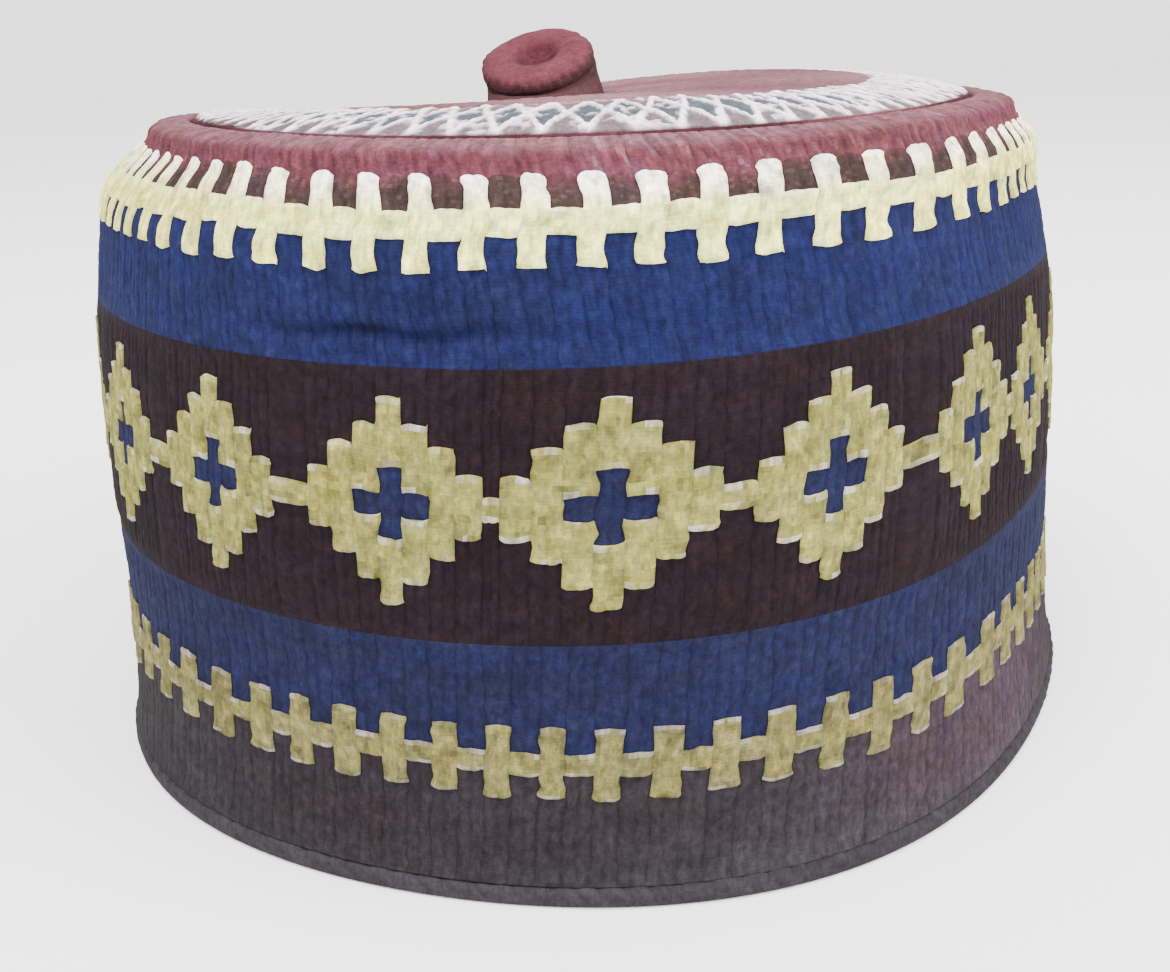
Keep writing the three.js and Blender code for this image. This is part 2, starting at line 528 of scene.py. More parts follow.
@dataclass
class Grid:
    """Rows of points round the cap, from the bottom of the outer face over to the inner one.

    Colours are of faces, so that threads meet in sharp edges. Shade is of points, with one or three
    values in its last axis, and the two are multiplied.
    """

    points: Array
    colours: Array
    shade: Array
    along: Array
    closing: Closing

    def joined(self, other: "Grid") -> "Grid":
        """Joins another grid to this one.

        Args:
            other: A grid with as many columns.

        Returns:
            This grid's rows, then the other's, with one row of faces between them.
        """
        colours = np.concatenate([self.colours, self.colours[-1:], other.colours])
        along = np.concatenate([self.along, self.along[-1] + 1 + other.along])
        points = np.concatenate([self.points, other.points])
        shade = np.concatenate([self.shade, other.shade])
        return Grid(points, colours, shade, along, self.closing)

    def corner_indices(self) -> Array:
        """Finds the points of every face.

        Returns:
            Numbers of points, as face rows by columns by four corners.
        """
        rows, columns = self.points.shape[:2]
        index = np.arange(rows * columns).reshape(rows, columns)
        above = np.roll(index, -1, axis=0) if self.closing is Closing.LOOP else index[1:]
        below = index if self.closing is Closing.LOOP else index[:-1]
        corners = [below, np.roll(below, -1, 1), np.roll(above, -1, 1), above]
        return np.stack(corners, -1)

    def mesh(self, name: str, middle: Array) -> bpy.types.Mesh:
        """Makes the mesh, in metres, with its thread colours and its own map.

        Args:
            name: The mesh's name.
            middle: The x and y that go to the Z axis.

        Returns:
            The mesh, with the colour attribute "thread" and the map "stitches", which runs once
            round and once for each map length along the rows.
        """
        rows, columns = self.points.shape[:2]
        corners = self.corner_indices()
        colours = self.colours
        if self.closing is Closing.LOOP:
            colours = np.concatenate([colours, colours[-1:]])
        shade = self.shade.reshape(rows * columns, -1)
        tinted = colours[:, :, None, :] * shade[corners]
        along = self.along / MAP_LENGTH
        across = np.arange(columns) / columns
        step = 1 / columns
        left = np.broadcast_to(across, corners.shape[:2])
        low = np.broadcast_to(along[: corners.shape[0], None], corners.shape[:2])
        ends = np.append(along, along[-1] + 1 / MAP_LENGTH)
        high = np.broadcast_to(ends[1 : corners.shape[0] + 1, None], corners.shape[:2])
        across_map = np.stack([left, left + step, left + step, left], -1)
        along_map = np.stack([low, low, high, high], -1)
        faces = corners.reshape(-1, 4).tolist()
        tints = tinted.reshape(-1, 3)
        places = np.stack([across_map.reshape(-1), along_map.reshape(-1)], 1)
        points = self.points.reshape(-1, 3)
        if self.closing is Closing.POLES:
            for row, is_low in ((0, True), (rows - 1, False)):
                pole = len(points)
                points = np.concatenate([points, self.points[row].mean(0)[None]])
                ring = row * columns + np.arange(columns)
                following = np.roll(ring, -1)
                pair = (following, ring) if is_low else (ring, following)
                fan = np.stack([np.full(columns, pole), *pair], 1)
                faces += fan.tolist()
                tint = colours[0 if is_low else -1] * self.shade[row]
                tints = np.concatenate([tints, np.repeat(tint, 3, 0)])
                edge = np.full(columns, float(along[row]))
                fan_map = np.stack([across + step / 2, edge, across, edge, across + step, edge], 1)
                places = np.concatenate([places, fan_map.reshape(-1, 2)])
        moved = (points - np.array([middle[0], middle[1], 0])) * METRES
        mesh = bpy.data.meshes.new(name)
        mesh.from_pydata(moved.tolist(), [], faces)
        mesh.polygons.foreach_set("use_smooth", np.ones(len(faces), bool))
        attribute = mesh.color_attributes.new(name="thread", type="FLOAT_COLOR", domain="CORNER")
        solid = np.concatenate([tints, np.ones((len(tints), 1))], 1)
        attribute.data.foreach_set("color", solid.astype(np.float32).reshape(-1))
        layer = mesh.uv_layers.new(name="stitches")
        layer.data.foreach_set("uv", places.astype(np.float32).reshape(-1))
        mesh.update()
        return mesh


def outward(points: Array) -> Array:
    """The normals of rows of points round the cap.

    Args:
        points: The points, closing round the cap.

    Returns:
        Unit normals: the step round crossed with the step up.
    """
    around = np.roll(points, -1, 1) - np.roll(points, 1, 1)
    up = np.gradient(points, axis=0)
    normal = np.cross(around, up)
    return normal / np.maximum(np.linalg.norm(normal, axis=-1, keepdims=True), 1e-9)


def place(name: str, mesh: bpy.types.Mesh, material: bpy.types.Material, slot: str, nodes: tuple) -> None:
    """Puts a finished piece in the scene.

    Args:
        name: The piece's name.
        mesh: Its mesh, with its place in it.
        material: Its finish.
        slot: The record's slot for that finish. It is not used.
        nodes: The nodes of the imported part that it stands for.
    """
    piece = bpy.data.objects.new(name, mesh)
    bpy.context.scene.collection.objects.link(piece)
    mesh.materials.append(material)
    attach(piece, BODY)
    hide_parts(*nodes)
    LOG.info("%s: %d faces", name, len(mesh.polygons))


# Finishes

class NodeSheet:
    """A material's nodes, with short ways to add and join them."""

    def __init__(self, name: str) -> None:
        """Starts a material with its surface shader.

        Args:
            name: The material's name.
        """
        self.material = bpy.data.materials.new(name)
        self.material.use_nodes = True
        self.tree = self.material.node_tree
        self.shader = self.tree.nodes["Principled BSDF"]

    def add(self, kind: str, settings: dict | None = None, inputs: dict | None = None) -> bpy.types.Node:
        """Adds a node.

        Args:
            kind: The node's type.
            settings: Its properties, by name.
            inputs: Its inputs, by name or number, each a value or another node's socket.

        Returns:
            The node.
        """
        node = self.tree.nodes.new(kind)
        for name, value in (settings or {}).items():
            setattr(node, name, value)
        for name, value in (inputs or {}).items():
            self.put(node, name, value)
        return node

    def put(self, node: bpy.types.Node, name: str | int, value: object) -> None:
        """Sets a node's input to a value, or joins another node's socket to it.

        Args:
            node: The node.
            name: The input's name or number.
            value: The value or socket.
        """
        if isinstance(value, Socket):
            self.tree.links.new(value, node.inputs[name])
        else:
            node.inputs[name].default_value = value

    def math(self, operation: str, *values: object) -> Socket:
        """The result of a Math node on one to three values or sockets."""
        node = self.add("ShaderNodeMath", {"operation": operation}, dict(enumerate(values)))
        return node.outputs[0]

    def ranged(self, value: object, low: float, high: float, to_low: float, to_high: float) -> Socket:
        """Moves a value from one range to another, held at the ends.

        Args:
            value: A number or a socket.
            low: Where its range starts.
            high: Where it ends.
            to_low: The result at the start.
            to_high: The result at the end.

        Returns:
            The result's socket.
        """
        names = ("Value", "From Min", "From Max", "To Min", "To Max")
        node = self.add("ShaderNodeMapRange", None, dict(zip(names, (value, low, high, to_low, to_high))))
        return node.outputs["Result"]

    def noise(self, place: object, scale: float, detail: float, roughness: float = 0.55) -> Socket:
        """Noise at a place, by its scale and detail."""
        inputs = {"Vector": place, "Scale": scale, "Detail": detail, "Roughness": roughness}
        return self.add("ShaderNodeTexNoise", None, inputs).outputs["Fac"]

    def tinted(self, colour: object, amount: object) -> Socket:
        """A colour made lighter or darker by an amount, where 1 leaves it."""
        node = self.add("ShaderNodeVectorMath", {"operation": "SCALE"}, {0: colour, "Scale": amount})
        return node.outputs[0]


@dataclass(frozen=True)
class ThreadFinish:
    """Embroidery: short upright stitches over faint rows of thread, with fuzz and uneven dye.

    Stitches are counted once round the cap and along one map length.
    """

    name: str
    rows: float
    stitches_round: float = 1000.0
    stitches_along: float = 62.0
    stitch_shade: float = 0.17
    thread_depth: float = 0.00013
    thread_shade: float = 0.012
    thread_height: float = 0.3
    stitch_bump: float = 2.6
    fuzz_bump: float = 1.2
    bump_strength: float = 0.7
    bend: float = 1.5
    bend_scale: float = 380.0
    fuzz_scale: float = 1900.0
    fuzz_shade: float = 0.16
    grain_scale: float = 760.0
    grain_shade: float = 0.15
    mottle_scale: float = 240.0
    mottle_shade: float = 0.1
    roughness: float = 0.95
    specular: float = 0.06

    def make(self) -> bpy.types.Material:
        """Builds the material.

        Returns:
            The thread colour of the mesh, varied by noise that is stretched up the map into
            stitches, by a sine along the map bent by noise, and by fuzz, grain and mottles.
        """
        sheet = NodeSheet(self.name)
        thread = sheet.add("ShaderNodeAttribute", {"attribute_name": "thread"}).outputs["Color"]
        places = sheet.add("ShaderNodeTexCoord")
        here = places.outputs["Object"]
        split = sheet.add("ShaderNodeSeparateXYZ", None, {0: places.outputs["UV"]})
        bent = sheet.math("MULTIPLY", sheet.noise(here, self.bend_scale, 2.0), self.bend)
        phase = sheet.math("MULTIPLY_ADD", split.outputs["Y"], self.rows, bent)
        wave = sheet.math("SINE", sheet.math("MULTIPLY", phase, 2 * math.pi))
        strand = sheet.ranged(wave, -1.0, 1.0, 0.0, 1.0)
        counts = (self.stitches_round, self.stitches_along, 0.0)
        vectors = {0: places.outputs["UV"], 1: counts}
        stretched = sheet.add("ShaderNodeVectorMath", {"operation": "MULTIPLY"}, vectors)
        stitch = sheet.noise(stretched.outputs[0], 1.0, 1.5, 0.5)
        fuzz = sheet.noise(here, self.fuzz_scale, 3.0, 0.65)
        tone = sheet.ranged(strand, 0.0, 1.0, 1 - self.thread_shade, 1 + self.thread_shade)
        for value, shade in (
            (stitch, self.stitch_shade),
            (fuzz, self.fuzz_shade),
            (sheet.noise(here, self.grain_scale, 2.0), self.grain_shade),
            (sheet.noise(here, self.mottle_scale, 3.0), self.mottle_shade),
        ):
            tone = sheet.math("MULTIPLY", tone, sheet.ranged(value, 0.3, 0.7, 1 - shade, 1 + shade))
        sheet.put(sheet.shader, "Base Color", sheet.tinted(thread, tone))
        threads = sheet.math("MULTIPLY", strand, self.thread_height)
        fuzzy = sheet.math("MULTIPLY_ADD", fuzz, self.fuzz_bump, threads)
        height = sheet.math("MULTIPLY_ADD", stitch, self.stitch_bump, fuzzy)
        inputs = {"Strength": self.bump_strength, "Distance": self.thread_depth, "Height": height}
        bump = sheet.add("ShaderNodeBump", None, inputs)
        sheet.put(sheet.shader, "Normal", bump.outputs["Normal"])
        sheet.put(sheet.shader, "Roughness", self.roughness)
        sheet.put(sheet.shader, "Specular IOR Level", self.specular)
        return sheet.material


# The side, in three bands of embroidery

@dataclass(frozen=True)
class ChartRow:
    """A row of the chart.

    It has the height of its top, a repeat with a thread's letter a unit, and how far, in
    millimetres, its top edge drops at the sides of each unit.
    """

    top: float
    repeat: str
    rounding: float = 0.0


LETTERS = {thread.letter: thread for thread in Thread}


@dataclass(frozen=True)
class Stitching:
    """The relief of ribs, stitches and motifs, in millimetres, and how far each shades the thread."""

    sunk: float = 0.3
    rib_height: float = 0.14
    rib_unevenness: float = 0.3
    rib_knots_every: float = 7.0
    half_rib_height: float = 0.13
    motif_height: float = 0.42
    motif_power: float = 1.5
    stitch_length: float = 2.4
    stitch_height: float = 0.07
    stitch_shifts: float = 3.0
    plump_height: float = 0.05
    plump_rows: int = 41
    swells: Hills = ((0.3, 13, 2), (0.14, 90, 11))
    rib_shade: float = 0.09
    groove_shade: float = 0.19
    motif_groove_shade: float = 0.07
    plump_shade: float = 0.07
    stitch_shade: float = 0.06
    column_shade: float = 0.06
    column_knots: int = 3
    shade_swells: Hills = ((0.07, 26, 3),)

    def work(
        self, unit: Array, length: Array, raised: Array, columns: int, by: Unevenness
    ) -> tuple[Array, Array]:
        """Works out ribs, stitches, soft hills and raised motifs.

        Args:
            unit: The chart unit of each point.
            length: Its length up the side.
            raised: Which faces are laid over the ground.
            columns: How many chart units there are round.
            by: The unevenness.

        Returns:
            The relief in millimetres and the shade. A rib is 1 - |x|³ across a unit and a half rib
            is 1 - x² across its half, where x runs from -1 to 1.
        """
        column = whole(unit)
        half = whole(unit * 2)
        across = off_middle(unit)
        across_half = off_middle(unit * 2)
        rises = knots_up(length, self.rib_knots_every)
        fullness = 1 + self.rib_unevenness * by.stepped(column, columns, rises)
        rib = self.rib_height * fullness * (1 - across**3)
        half_rib = self.half_rib_height * (1 - across_half**2)
        shift = self.stitch_shifts * by.cells(half, 0 * half, (2 * columns, 1))
        place_on = length / self.stitch_length + shift
        bulge = 1 - off_middle(place_on) ** 4
        plump = by.cells(half, whole(place_on), (2 * columns, self.plump_rows))
        stitches = (self.stitch_height + self.plump_height * plump) * bulge
        mask = corner_mean(raised)
        motif = self.motif_height * mask**self.motif_power
        relief = rib + half_rib + stitches + by.hills(self.swells) + motif - self.sunk
        groove = self.groove_shade + (self.motif_groove_shade - self.groove_shade) * mask
        shade = 1 - self.rib_shade * across**6 - groove * across_half**6
        shade = shade * (1 + self.plump_shade * plump) * (1 - self.stitch_shade * (1 - bulge))
        shade = shade * (1 + self.column_shade * by.stepped(column, columns, self.column_knots))
        return relief, shade * (1 + by.hills(self.shade_swells))


@dataclass(frozen=True)
class Dyeing:
    """How unevenly the thread is dyed, with a painted highlight where the raised thread turns back at the
    ends of its stitches, and painted contact shadow in the ground beside it.
    """

    warmth: tuple[float, float, float] = (0.05, 0.015, -0.16)
    warm_hills: Hills = ((0.55, 95, 12),)
    warm_cells: float = 0.45
    warm_rows: int = 53
    fleck_length: float = 1.44
    thread_length: float = 1.15
    thread_rows: int = 61
    thread_mottle: float = 0.13
    mottles: Hills = ((0.22, 260, 19), (0.24, 610, 34))
    raised_mottling: float = 1.15
    ground_mottling: float = 0.5
    # Painted highlight where the raised thread turns back, then painted contact shadow beside it
    frayed_edge: float = 0.07
    frayed_unevenness: float = 0.15
    frayed_rows: tuple[int, int] = (37, 41)
    worn_white: float = 0.72
    beside_motifs: float = 0.72
    speck_letter: str = "u"
    speck_chance: float = 0.1
    speck_light: float = 0.5

    def colours(
        self, letters: Array, raised: Array, unit: Array, length: Array, columns: int, by: Unevenness
    ) -> Array:
        """Colours each face by its thread.

        Args:
            letters: The chart letters of the faces.
            raised: Which faces are laid over the ground.
            unit: The chart unit of each face.
            length: Its length up the side.
            columns: How many chart units there are round.
            by: The unevenness over the faces.

        Returns:
            Linear colours: warmer and cooler in patches, lighter and darker in threads and
            mottles, a painted highlight of white where the raised thread turns back at its ends,
            painted contact shadow in the ground beside it, and with pale specks in one thread.
        """
        colours = np.zeros((*letters.shape, 3))
        for letter in np.unique(letters):
            colours[letters == letter] = LETTERS[str(letter)].linear
        half = whole(unit * 2)
        fifth = whole(unit * 5)
        fleck = whole(length / self.fleck_length)
        thread = whole(length / self.thread_length + 0.5 * (fifth % 2))
        warm = by.hills(self.warm_hills)
        warm = warm + self.warm_cells * by.cells(half, fleck, (2 * columns, self.warm_rows))
        colours = colours * (1 + warm[..., None] * np.array(self.warmth))
        bright = self.thread_mottle * by.cells(fifth, thread, (5 * columns, self.thread_rows))
        bright = bright + by.hills(self.mottles)
        mottling = np.where(raised, self.raised_mottling, self.ground_mottling)
        colours = colours * (1 + mottling * bright)[..., None]
        # Painted highlight: the raised thread's turned-back ends are mixed toward white
        turned_back = raised & ~(shifted(raised, 2) & shifted(raised, -2))
        highlight_cells = by.cells(half, fleck, (2 * columns, self.frayed_rows[0]))
        highlight_cells = highlight_cells + by.cells(whole(unit * 4), fleck, (4 * columns, self.frayed_rows[1]))
        white = turned_back * np.clip(self.frayed_edge + self.frayed_unevenness * highlight_cells, 0, 1)
        colours = mixed(colours, Thread.WHITE.linear * self.worn_white, white)
        # Painted contact shadow: the ground beside the raised thread is darker
        round_it = np.roll(raised, 1, 1) | np.roll(raised, -1, 1)
        beside = ~raised & (round_it | shifted(raised, 1) | shifted(raised, -1))
        colours = np.where(beside[..., None], colours * self.beside_motifs, colours)
        speck = (letters == self.speck_letter) * (by.draws.random(letters.shape) < self.speck_chance)
        return colours * (1 + self.speck_light * speck[..., None])


@dataclass
class SideBand:
    """A band of the side: padded ribs, one a chart unit, with motifs laid over them."""

    form: CapForm
    profile: SideProfile
    name: str
    columns: int
    bottom: float
    chart: tuple[ChartRow, ...]
    seed: int
    seen: tuple[tuple[float, float], ...]
    stitching: Stitching = Stitching()
    dyeing: Dyeing = Dyeing()
    slant: float = 0.067
    slant_height: float = 65.0
    wander: Hills = ((0.05, 60, 5), (0.07, 380, 26))
    heave: Hills = ((0.45, 20, 2),)
    column_heave: float = 0.26
    heave_knots_every: float = 4.0
    ripple: Hills = ((0.2, 330, 16),)
    calm_end: float = 3.0
    edge_reach: float = 0.9
    row_pitch: float = 0.62
    thin_row: float = 0.16
    sample_shares: tuple = (0.0, 0.05, 0.2, 0.35, 0.5, 0.65, 0.8, 0.95)
    tuck_length: float = 0.6
    tuck_depth: float = 1.3
    lining_rows: int = 5
    lining_shade: Hills = ((0.08, 60, 4),)
    ends_at_lip: bool = False
    lip_fade: tuple[float, float] = (-1.0, 1.6)

    def knots(self) -> tuple[Array, Array]:
        """The chart units whose turns are given, and their turns in degrees, once round."""
        units, degrees = zip(*self.seen)
        return np.array(units), np.array(degrees)

    def base_turn(self, unit: Array) -> Array:
        """The turn of each place.

        Args:
            unit: Its chart unit.

        Returns:
            Radians, even between the band's knots.
        """
        units, degrees = self.knots()
        units = np.concatenate([units - self.columns, units, units + self.columns])
        degrees = np.concatenate([degrees - 360, degrees, degrees + 360])
        return np.radians(np.interp(unit, units, degrees))

    def chart_rows(self) -> tuple[Array, Array]:
        """Divides the chart's rows into rows of faces.

        Returns:
            The lengths of the rows of points, and each face row's number in the chart.
        """
        heights = [self.bottom] + [row.top for row in self.chart]
        edges = [self.profile.length_at(height) for height in heights]
        lengths = [np.array([edges[0]])]
        numbers = []
        for number, (low, high) in enumerate(zip(edges, edges[1:])):
            steps = max(1, round((high - low) / self.row_pitch))
            inner = np.linspace(low + self.thin_row, high - self.thin_row, steps + 1)
            lengths.append(np.append(inner, high))
            numbers += [number] * (steps + 2)
        if self.ends_at_lip:
            steps = round((self.profile.length[-1] - edges[-1]) / self.row_pitch)
            lengths.append(np.linspace(edges[-1], self.profile.length[-1], steps + 1)[1:])
            numbers += [numbers[-1]] * steps
        return np.concatenate(lengths), np.array(numbers)

    def sideways(self, unit: Array, length: Array, by: Unevenness) -> Array:
        """How far each place wanders round the cap, in chart units: soft hills."""
        return by.hills(self.wander)

    def edge_rounding(self, unit: Array, length: Array) -> Array:
        """How far the chart's edges drop at the sides of each unit.

        Args:
            unit: The chart unit of each point.
            length: Its length up the side.

        Returns:
            Millimetres: |x|³ across a unit times a bell at each edge.
        """
        drop = 0.0
        for row in self.chart:
            drop = drop + row.rounding * hump(length, self.profile.length_at(row.top), self.edge_reach)
        return off_middle(unit) ** 3 * drop

    def fanned(self, turn: Array, height: Array) -> Array:
        """How far the columns fan out as they rise, in radians: not at all on a plain band."""
        return np.zeros_like(turn * height)

    def extra_relief(self, turn: Array, length: Array) -> Array:
        """Relief beyond ribs and motifs, in millimetres: nothing on a plain band."""
        return np.zeros_like(turn * length)

    def dyed(self, colours: Array, letters: Array, turn: Array, height: Array) -> Array:
        """The faces' colours after the band's own fades: unchanged on a plain band."""
        return colours

    def build(self) -> Grid:
        """Works out the band.

        Returns:
            The outer face with ribs, stitches and raised motifs, joined to a plain inner face.
        """
        lengths, numbers = self.chart_rows()
        unit, length = np.meshgrid(columns_of(self.columns, self.sample_shares), lengths)
        by = Unevenness(self.seed, unit / self.columns, (length - lengths[0]) / (lengths[-1] - lengths[0]))
        moved_unit = unit + self.sideways(unit, length, by)
        rises = knots_up(length, self.heave_knots_every)
        heave = by.hills(self.heave) + self.column_heave * by.stepped(whole(unit), self.columns, rises)
        heave = heave + by.hills(self.ripple)
        ends = smooth_step(length, lengths[0], lengths[0] + self.calm_end)
        ends = ends * (1 - smooth_step(length, lengths[-1] - self.calm_end, lengths[-1]))
        moved_length = length + ends * (heave - self.edge_rounding(unit, length))
        radius, height = self.profile.at(moved_length)
        turn = self.base_turn(moved_unit) + np.radians(self.slant * (height - self.slant_height))
        turn = turn + self.fanned(turn, height)
        flat = self.form.on_side(turn, radius, height)
        letters = self.letters(numbers, unit.shape[1])
        raised = np.isin(letters, ("c", "p"))
        relief, shade = self.stitching.work(unit, length, raised, self.columns, by)
        relief = relief * ends
        if self.ends_at_lip:
            low, high = (self.profile.seam_length + reach for reach in self.lip_fade)
            relief = relief * (1 - smooth_step(length, low, high))
        relief = relief + self.extra_relief(turn, moved_length)
        by.move(by.around[:-1], by.along[:-1])
        colours = self.dyeing.colours(letters, raised, unit[:-1], length[:-1], self.columns, by)
        colours = self.dyed(colours, letters, turn[:-1], height[:-1])
        points = flat + outward(flat) * relief[..., None]
        outer = Grid(points, colours, shade[..., None], lengths, Closing.LOOP)
        return self.tucked(outer, turn, lengths).joined(self.lining(turn, lengths, by))

    def letters(self, numbers: Array, columns: int) -> Array:
        """Reads the chart.

        Args:
            numbers: The number in the chart of each row of faces.
            columns: How many faces there are round.

        Returns:
            The chart letter of each face.
        """
        unit = np.arange(columns) // len(self.sample_shares)
        repeats = [np.array(list(row.repeat)) for row in self.chart]
        rows = np.stack([repeat[unit % len(repeat)] for repeat in repeats])
        return rows[numbers]

    def tucked(self, outer: Grid, turn: Array, lengths: Array) -> Grid:
        """Adds a row at each end that dives under the next band.

        Args:
            outer: The outer face.
            turn: The turns of its points.
            lengths: The lengths of its rows.

        Returns:
            The outer face with one more row below, and one above where it doesn't end at the lip.
        """
        low_radius, low_height = self.profile.at(lengths[0] - self.tuck_length)
        low_height = low_height - max(0.0, self.tuck_length - lengths[0])
        low = self.form.on_side(turn[:1], low_radius - self.tuck_depth, low_height)
        points = np.concatenate([low, outer.points])
        shade = np.concatenate([outer.shade[:1], outer.shade])
        colours = np.concatenate([outer.colours[:1], outer.colours])
        along = np.concatenate([[0], lengths - lengths[0] + 1])
        if not self.ends_at_lip:
            radius, height = self.profile.at(lengths[-1] + self.tuck_length)
            high = self.form.on_side(turn[-1:], radius - self.tuck_depth, height)
            points = np.concatenate([points, high])
            shade = np.concatenate([shade, shade[-1:]])
            colours = np.concatenate([colours, colours[-1:]])
            along = np.append(along, along[-1] + 1)
        return Grid(points, colours, shade, along, Closing.LOOP)

    def lining(self, turn: Array, lengths: Array, by: Unevenness) -> Grid:
        """Works out the inner face, from the top down.

        Args:
            turn: The turns of the outer face's points.
            lengths: The lengths of its rows.
            by: The unevenness.

        Returns:
            Plain cloth, one wall's thickness inside the outline.
        """
        top = min(lengths[-1], self.profile.seam_length)
        down = np.linspace(top, lengths[0], self.lining_rows)[:, None]
        radius, height = self.profile.inside(down)
        points = self.form.on_side(turn[:1], radius, height)
        columns = turn.shape[1]
        around, along = np.meshgrid(np.arange(columns) / columns, np.linspace(0, 1, self.lining_rows))
        by.move(around, along)
        colours = np.broadcast_to(Thread.LINING.linear, (self.lining_rows - 1, columns, 3))
        shade = 1 + by.hills(self.lining_shade)
        return Grid(points, colours, shade[..., None], top - down[:, 0], Closing.LOOP)


def knots_up(length: Array, every: float) -> int:
    """How many knots there are up a grid of lengths, with one in each so many millimetres."""
    return max(2, round((length[-1, 0] - length[0, 0]) / every))


def columns_of(units: int, sample_shares: tuple) -> Array:
    """The chart unit of each column of points, with the same shares in every unit."""
    return (np.arange(units)[:, None] + np.array(sample_shares)).reshape(-1)


def corner_mean(faces: Array) -> Array:
    """Carries faces' marks to the points between them.

    Args:
        faces: Which faces are marked, closing round the cap.

    Returns:
        The share of the faces round each point that are marked.
    """
    padded = np.concatenate([faces[:1], faces, faces[-1:]]).astype(float)
    pairs = (padded[:-1] + padded[1:]) / 2
    return (pairs + np.roll(pairs, 1, 1)) / 2


def shifted(faces: Array, rows: int) -> Array:
    """Faces moved up or down by rows, with the end rows repeated."""
    count = len(faces)
    return faces[np.clip(np.arange(count) - rows, 0, count - 1)]


@dataclass
class LadderBand(SideBand):
    """A band with a ladder: a bar on every second unit, and a strip that joins the bars."""

    bar_unevenness: float = 0.05
    bar_knots: int = 4
    slimmer: float = 0.0
    flared_edge: float = 0.0
    flare: float = 0.045
    flare_reach: float = 1.3

    def sideways(self, unit: Array, length: Array, by: Unevenness) -> Array:
        """Adds to the soft hills: bars of uneven width, whose feet spread.

        Args:
            unit: The chart unit of each point.
            length: Its length up the side.
            by: The unevenness.

        Returns:
            Chart units, with sin(πs) across each bar, where s is -1/2 and 1/2 at its sides.
        """
        soft = super().sideways(unit, length, by)
        bar = np.round((unit - 0.5) / 2).astype(int)
        aside = unit - 0.5 - 2 * bar
        bars = self.columns // 2
        width = self.bar_unevenness * by.stepped(bar, bars, self.bar_knots) - self.slimmer
        foot = hump(length, self.profile.length_at(self.flared_edge), self.flare_reach)
        spread = self.flare * (1 + by.cells(bar, (aside > 0).astype(int), (bars, 2)))
        return soft + (width + spread * foot) * np.sin(math.pi * aside)


@dataclass
class LowerBand(LadderBand):
    """The dusty maroon foot, the lower ladder and the navy band over it."""

    dust: tuple[int, int, int] = (40, 38, 40)
    dust_share: float = 0.45
    dust_left: float = 0.4
    dust_left_turn: float = -0.3
    dust_waves: float = 0.3
    dust_low: float = 0.35
    dust_low_heights: tuple[float, float] = (4.0, 12.0)
    most_dust: float = 0.95
    # Painted light: how much lighter, round which turn and how far to its sides, in radians
    light_spots: tuple = ((1.2, 0.8, 0.45), (0.2, -0.7, 0.4))
    bar_greyness: tuple[float, float, float] = (0.27, 0.31, 0.12)

    def dyed(self, colours: Array, letters: Array, turn: Array, height: Array) -> Array:
        """Colours the foot and the bars.

        Args:
            colours: The faces' colours.
            letters: Their chart letters.
            turn: Their turns.
            height: Their heights.

        Returns:
            The foot greyed toward the hem and the left, with painted light in a few spots, and the
            bars greyed all over.
        """
        is_foot = letters == "m"
        waves = self.dust_waves * np.sin(5 * turn + 1) * np.cos(turn)
        share = self.dust_share - self.dust_left * np.sin(turn - self.dust_left_turn) + waves
        share = share + self.dust_low * (1 - smooth_step(height, *self.dust_low_heights))
        dusted = linear_light(self.dust) * colours.mean(-1, keepdims=True) / Thread.FOOT.linear.mean()
        colours = mixed(colours, dusted, np.clip(share, 0, self.most_dust) * is_foot)
        # Painted light on the foot in a few spots
        light = sum(gain * hump(turn, middle, reach) for gain, middle, reach in self.light_spots)
        greyer = 1 - (letters == "c")[..., None] * np.array(self.bar_greyness)
        return colours * (1 + light * is_foot)[..., None] * greyer


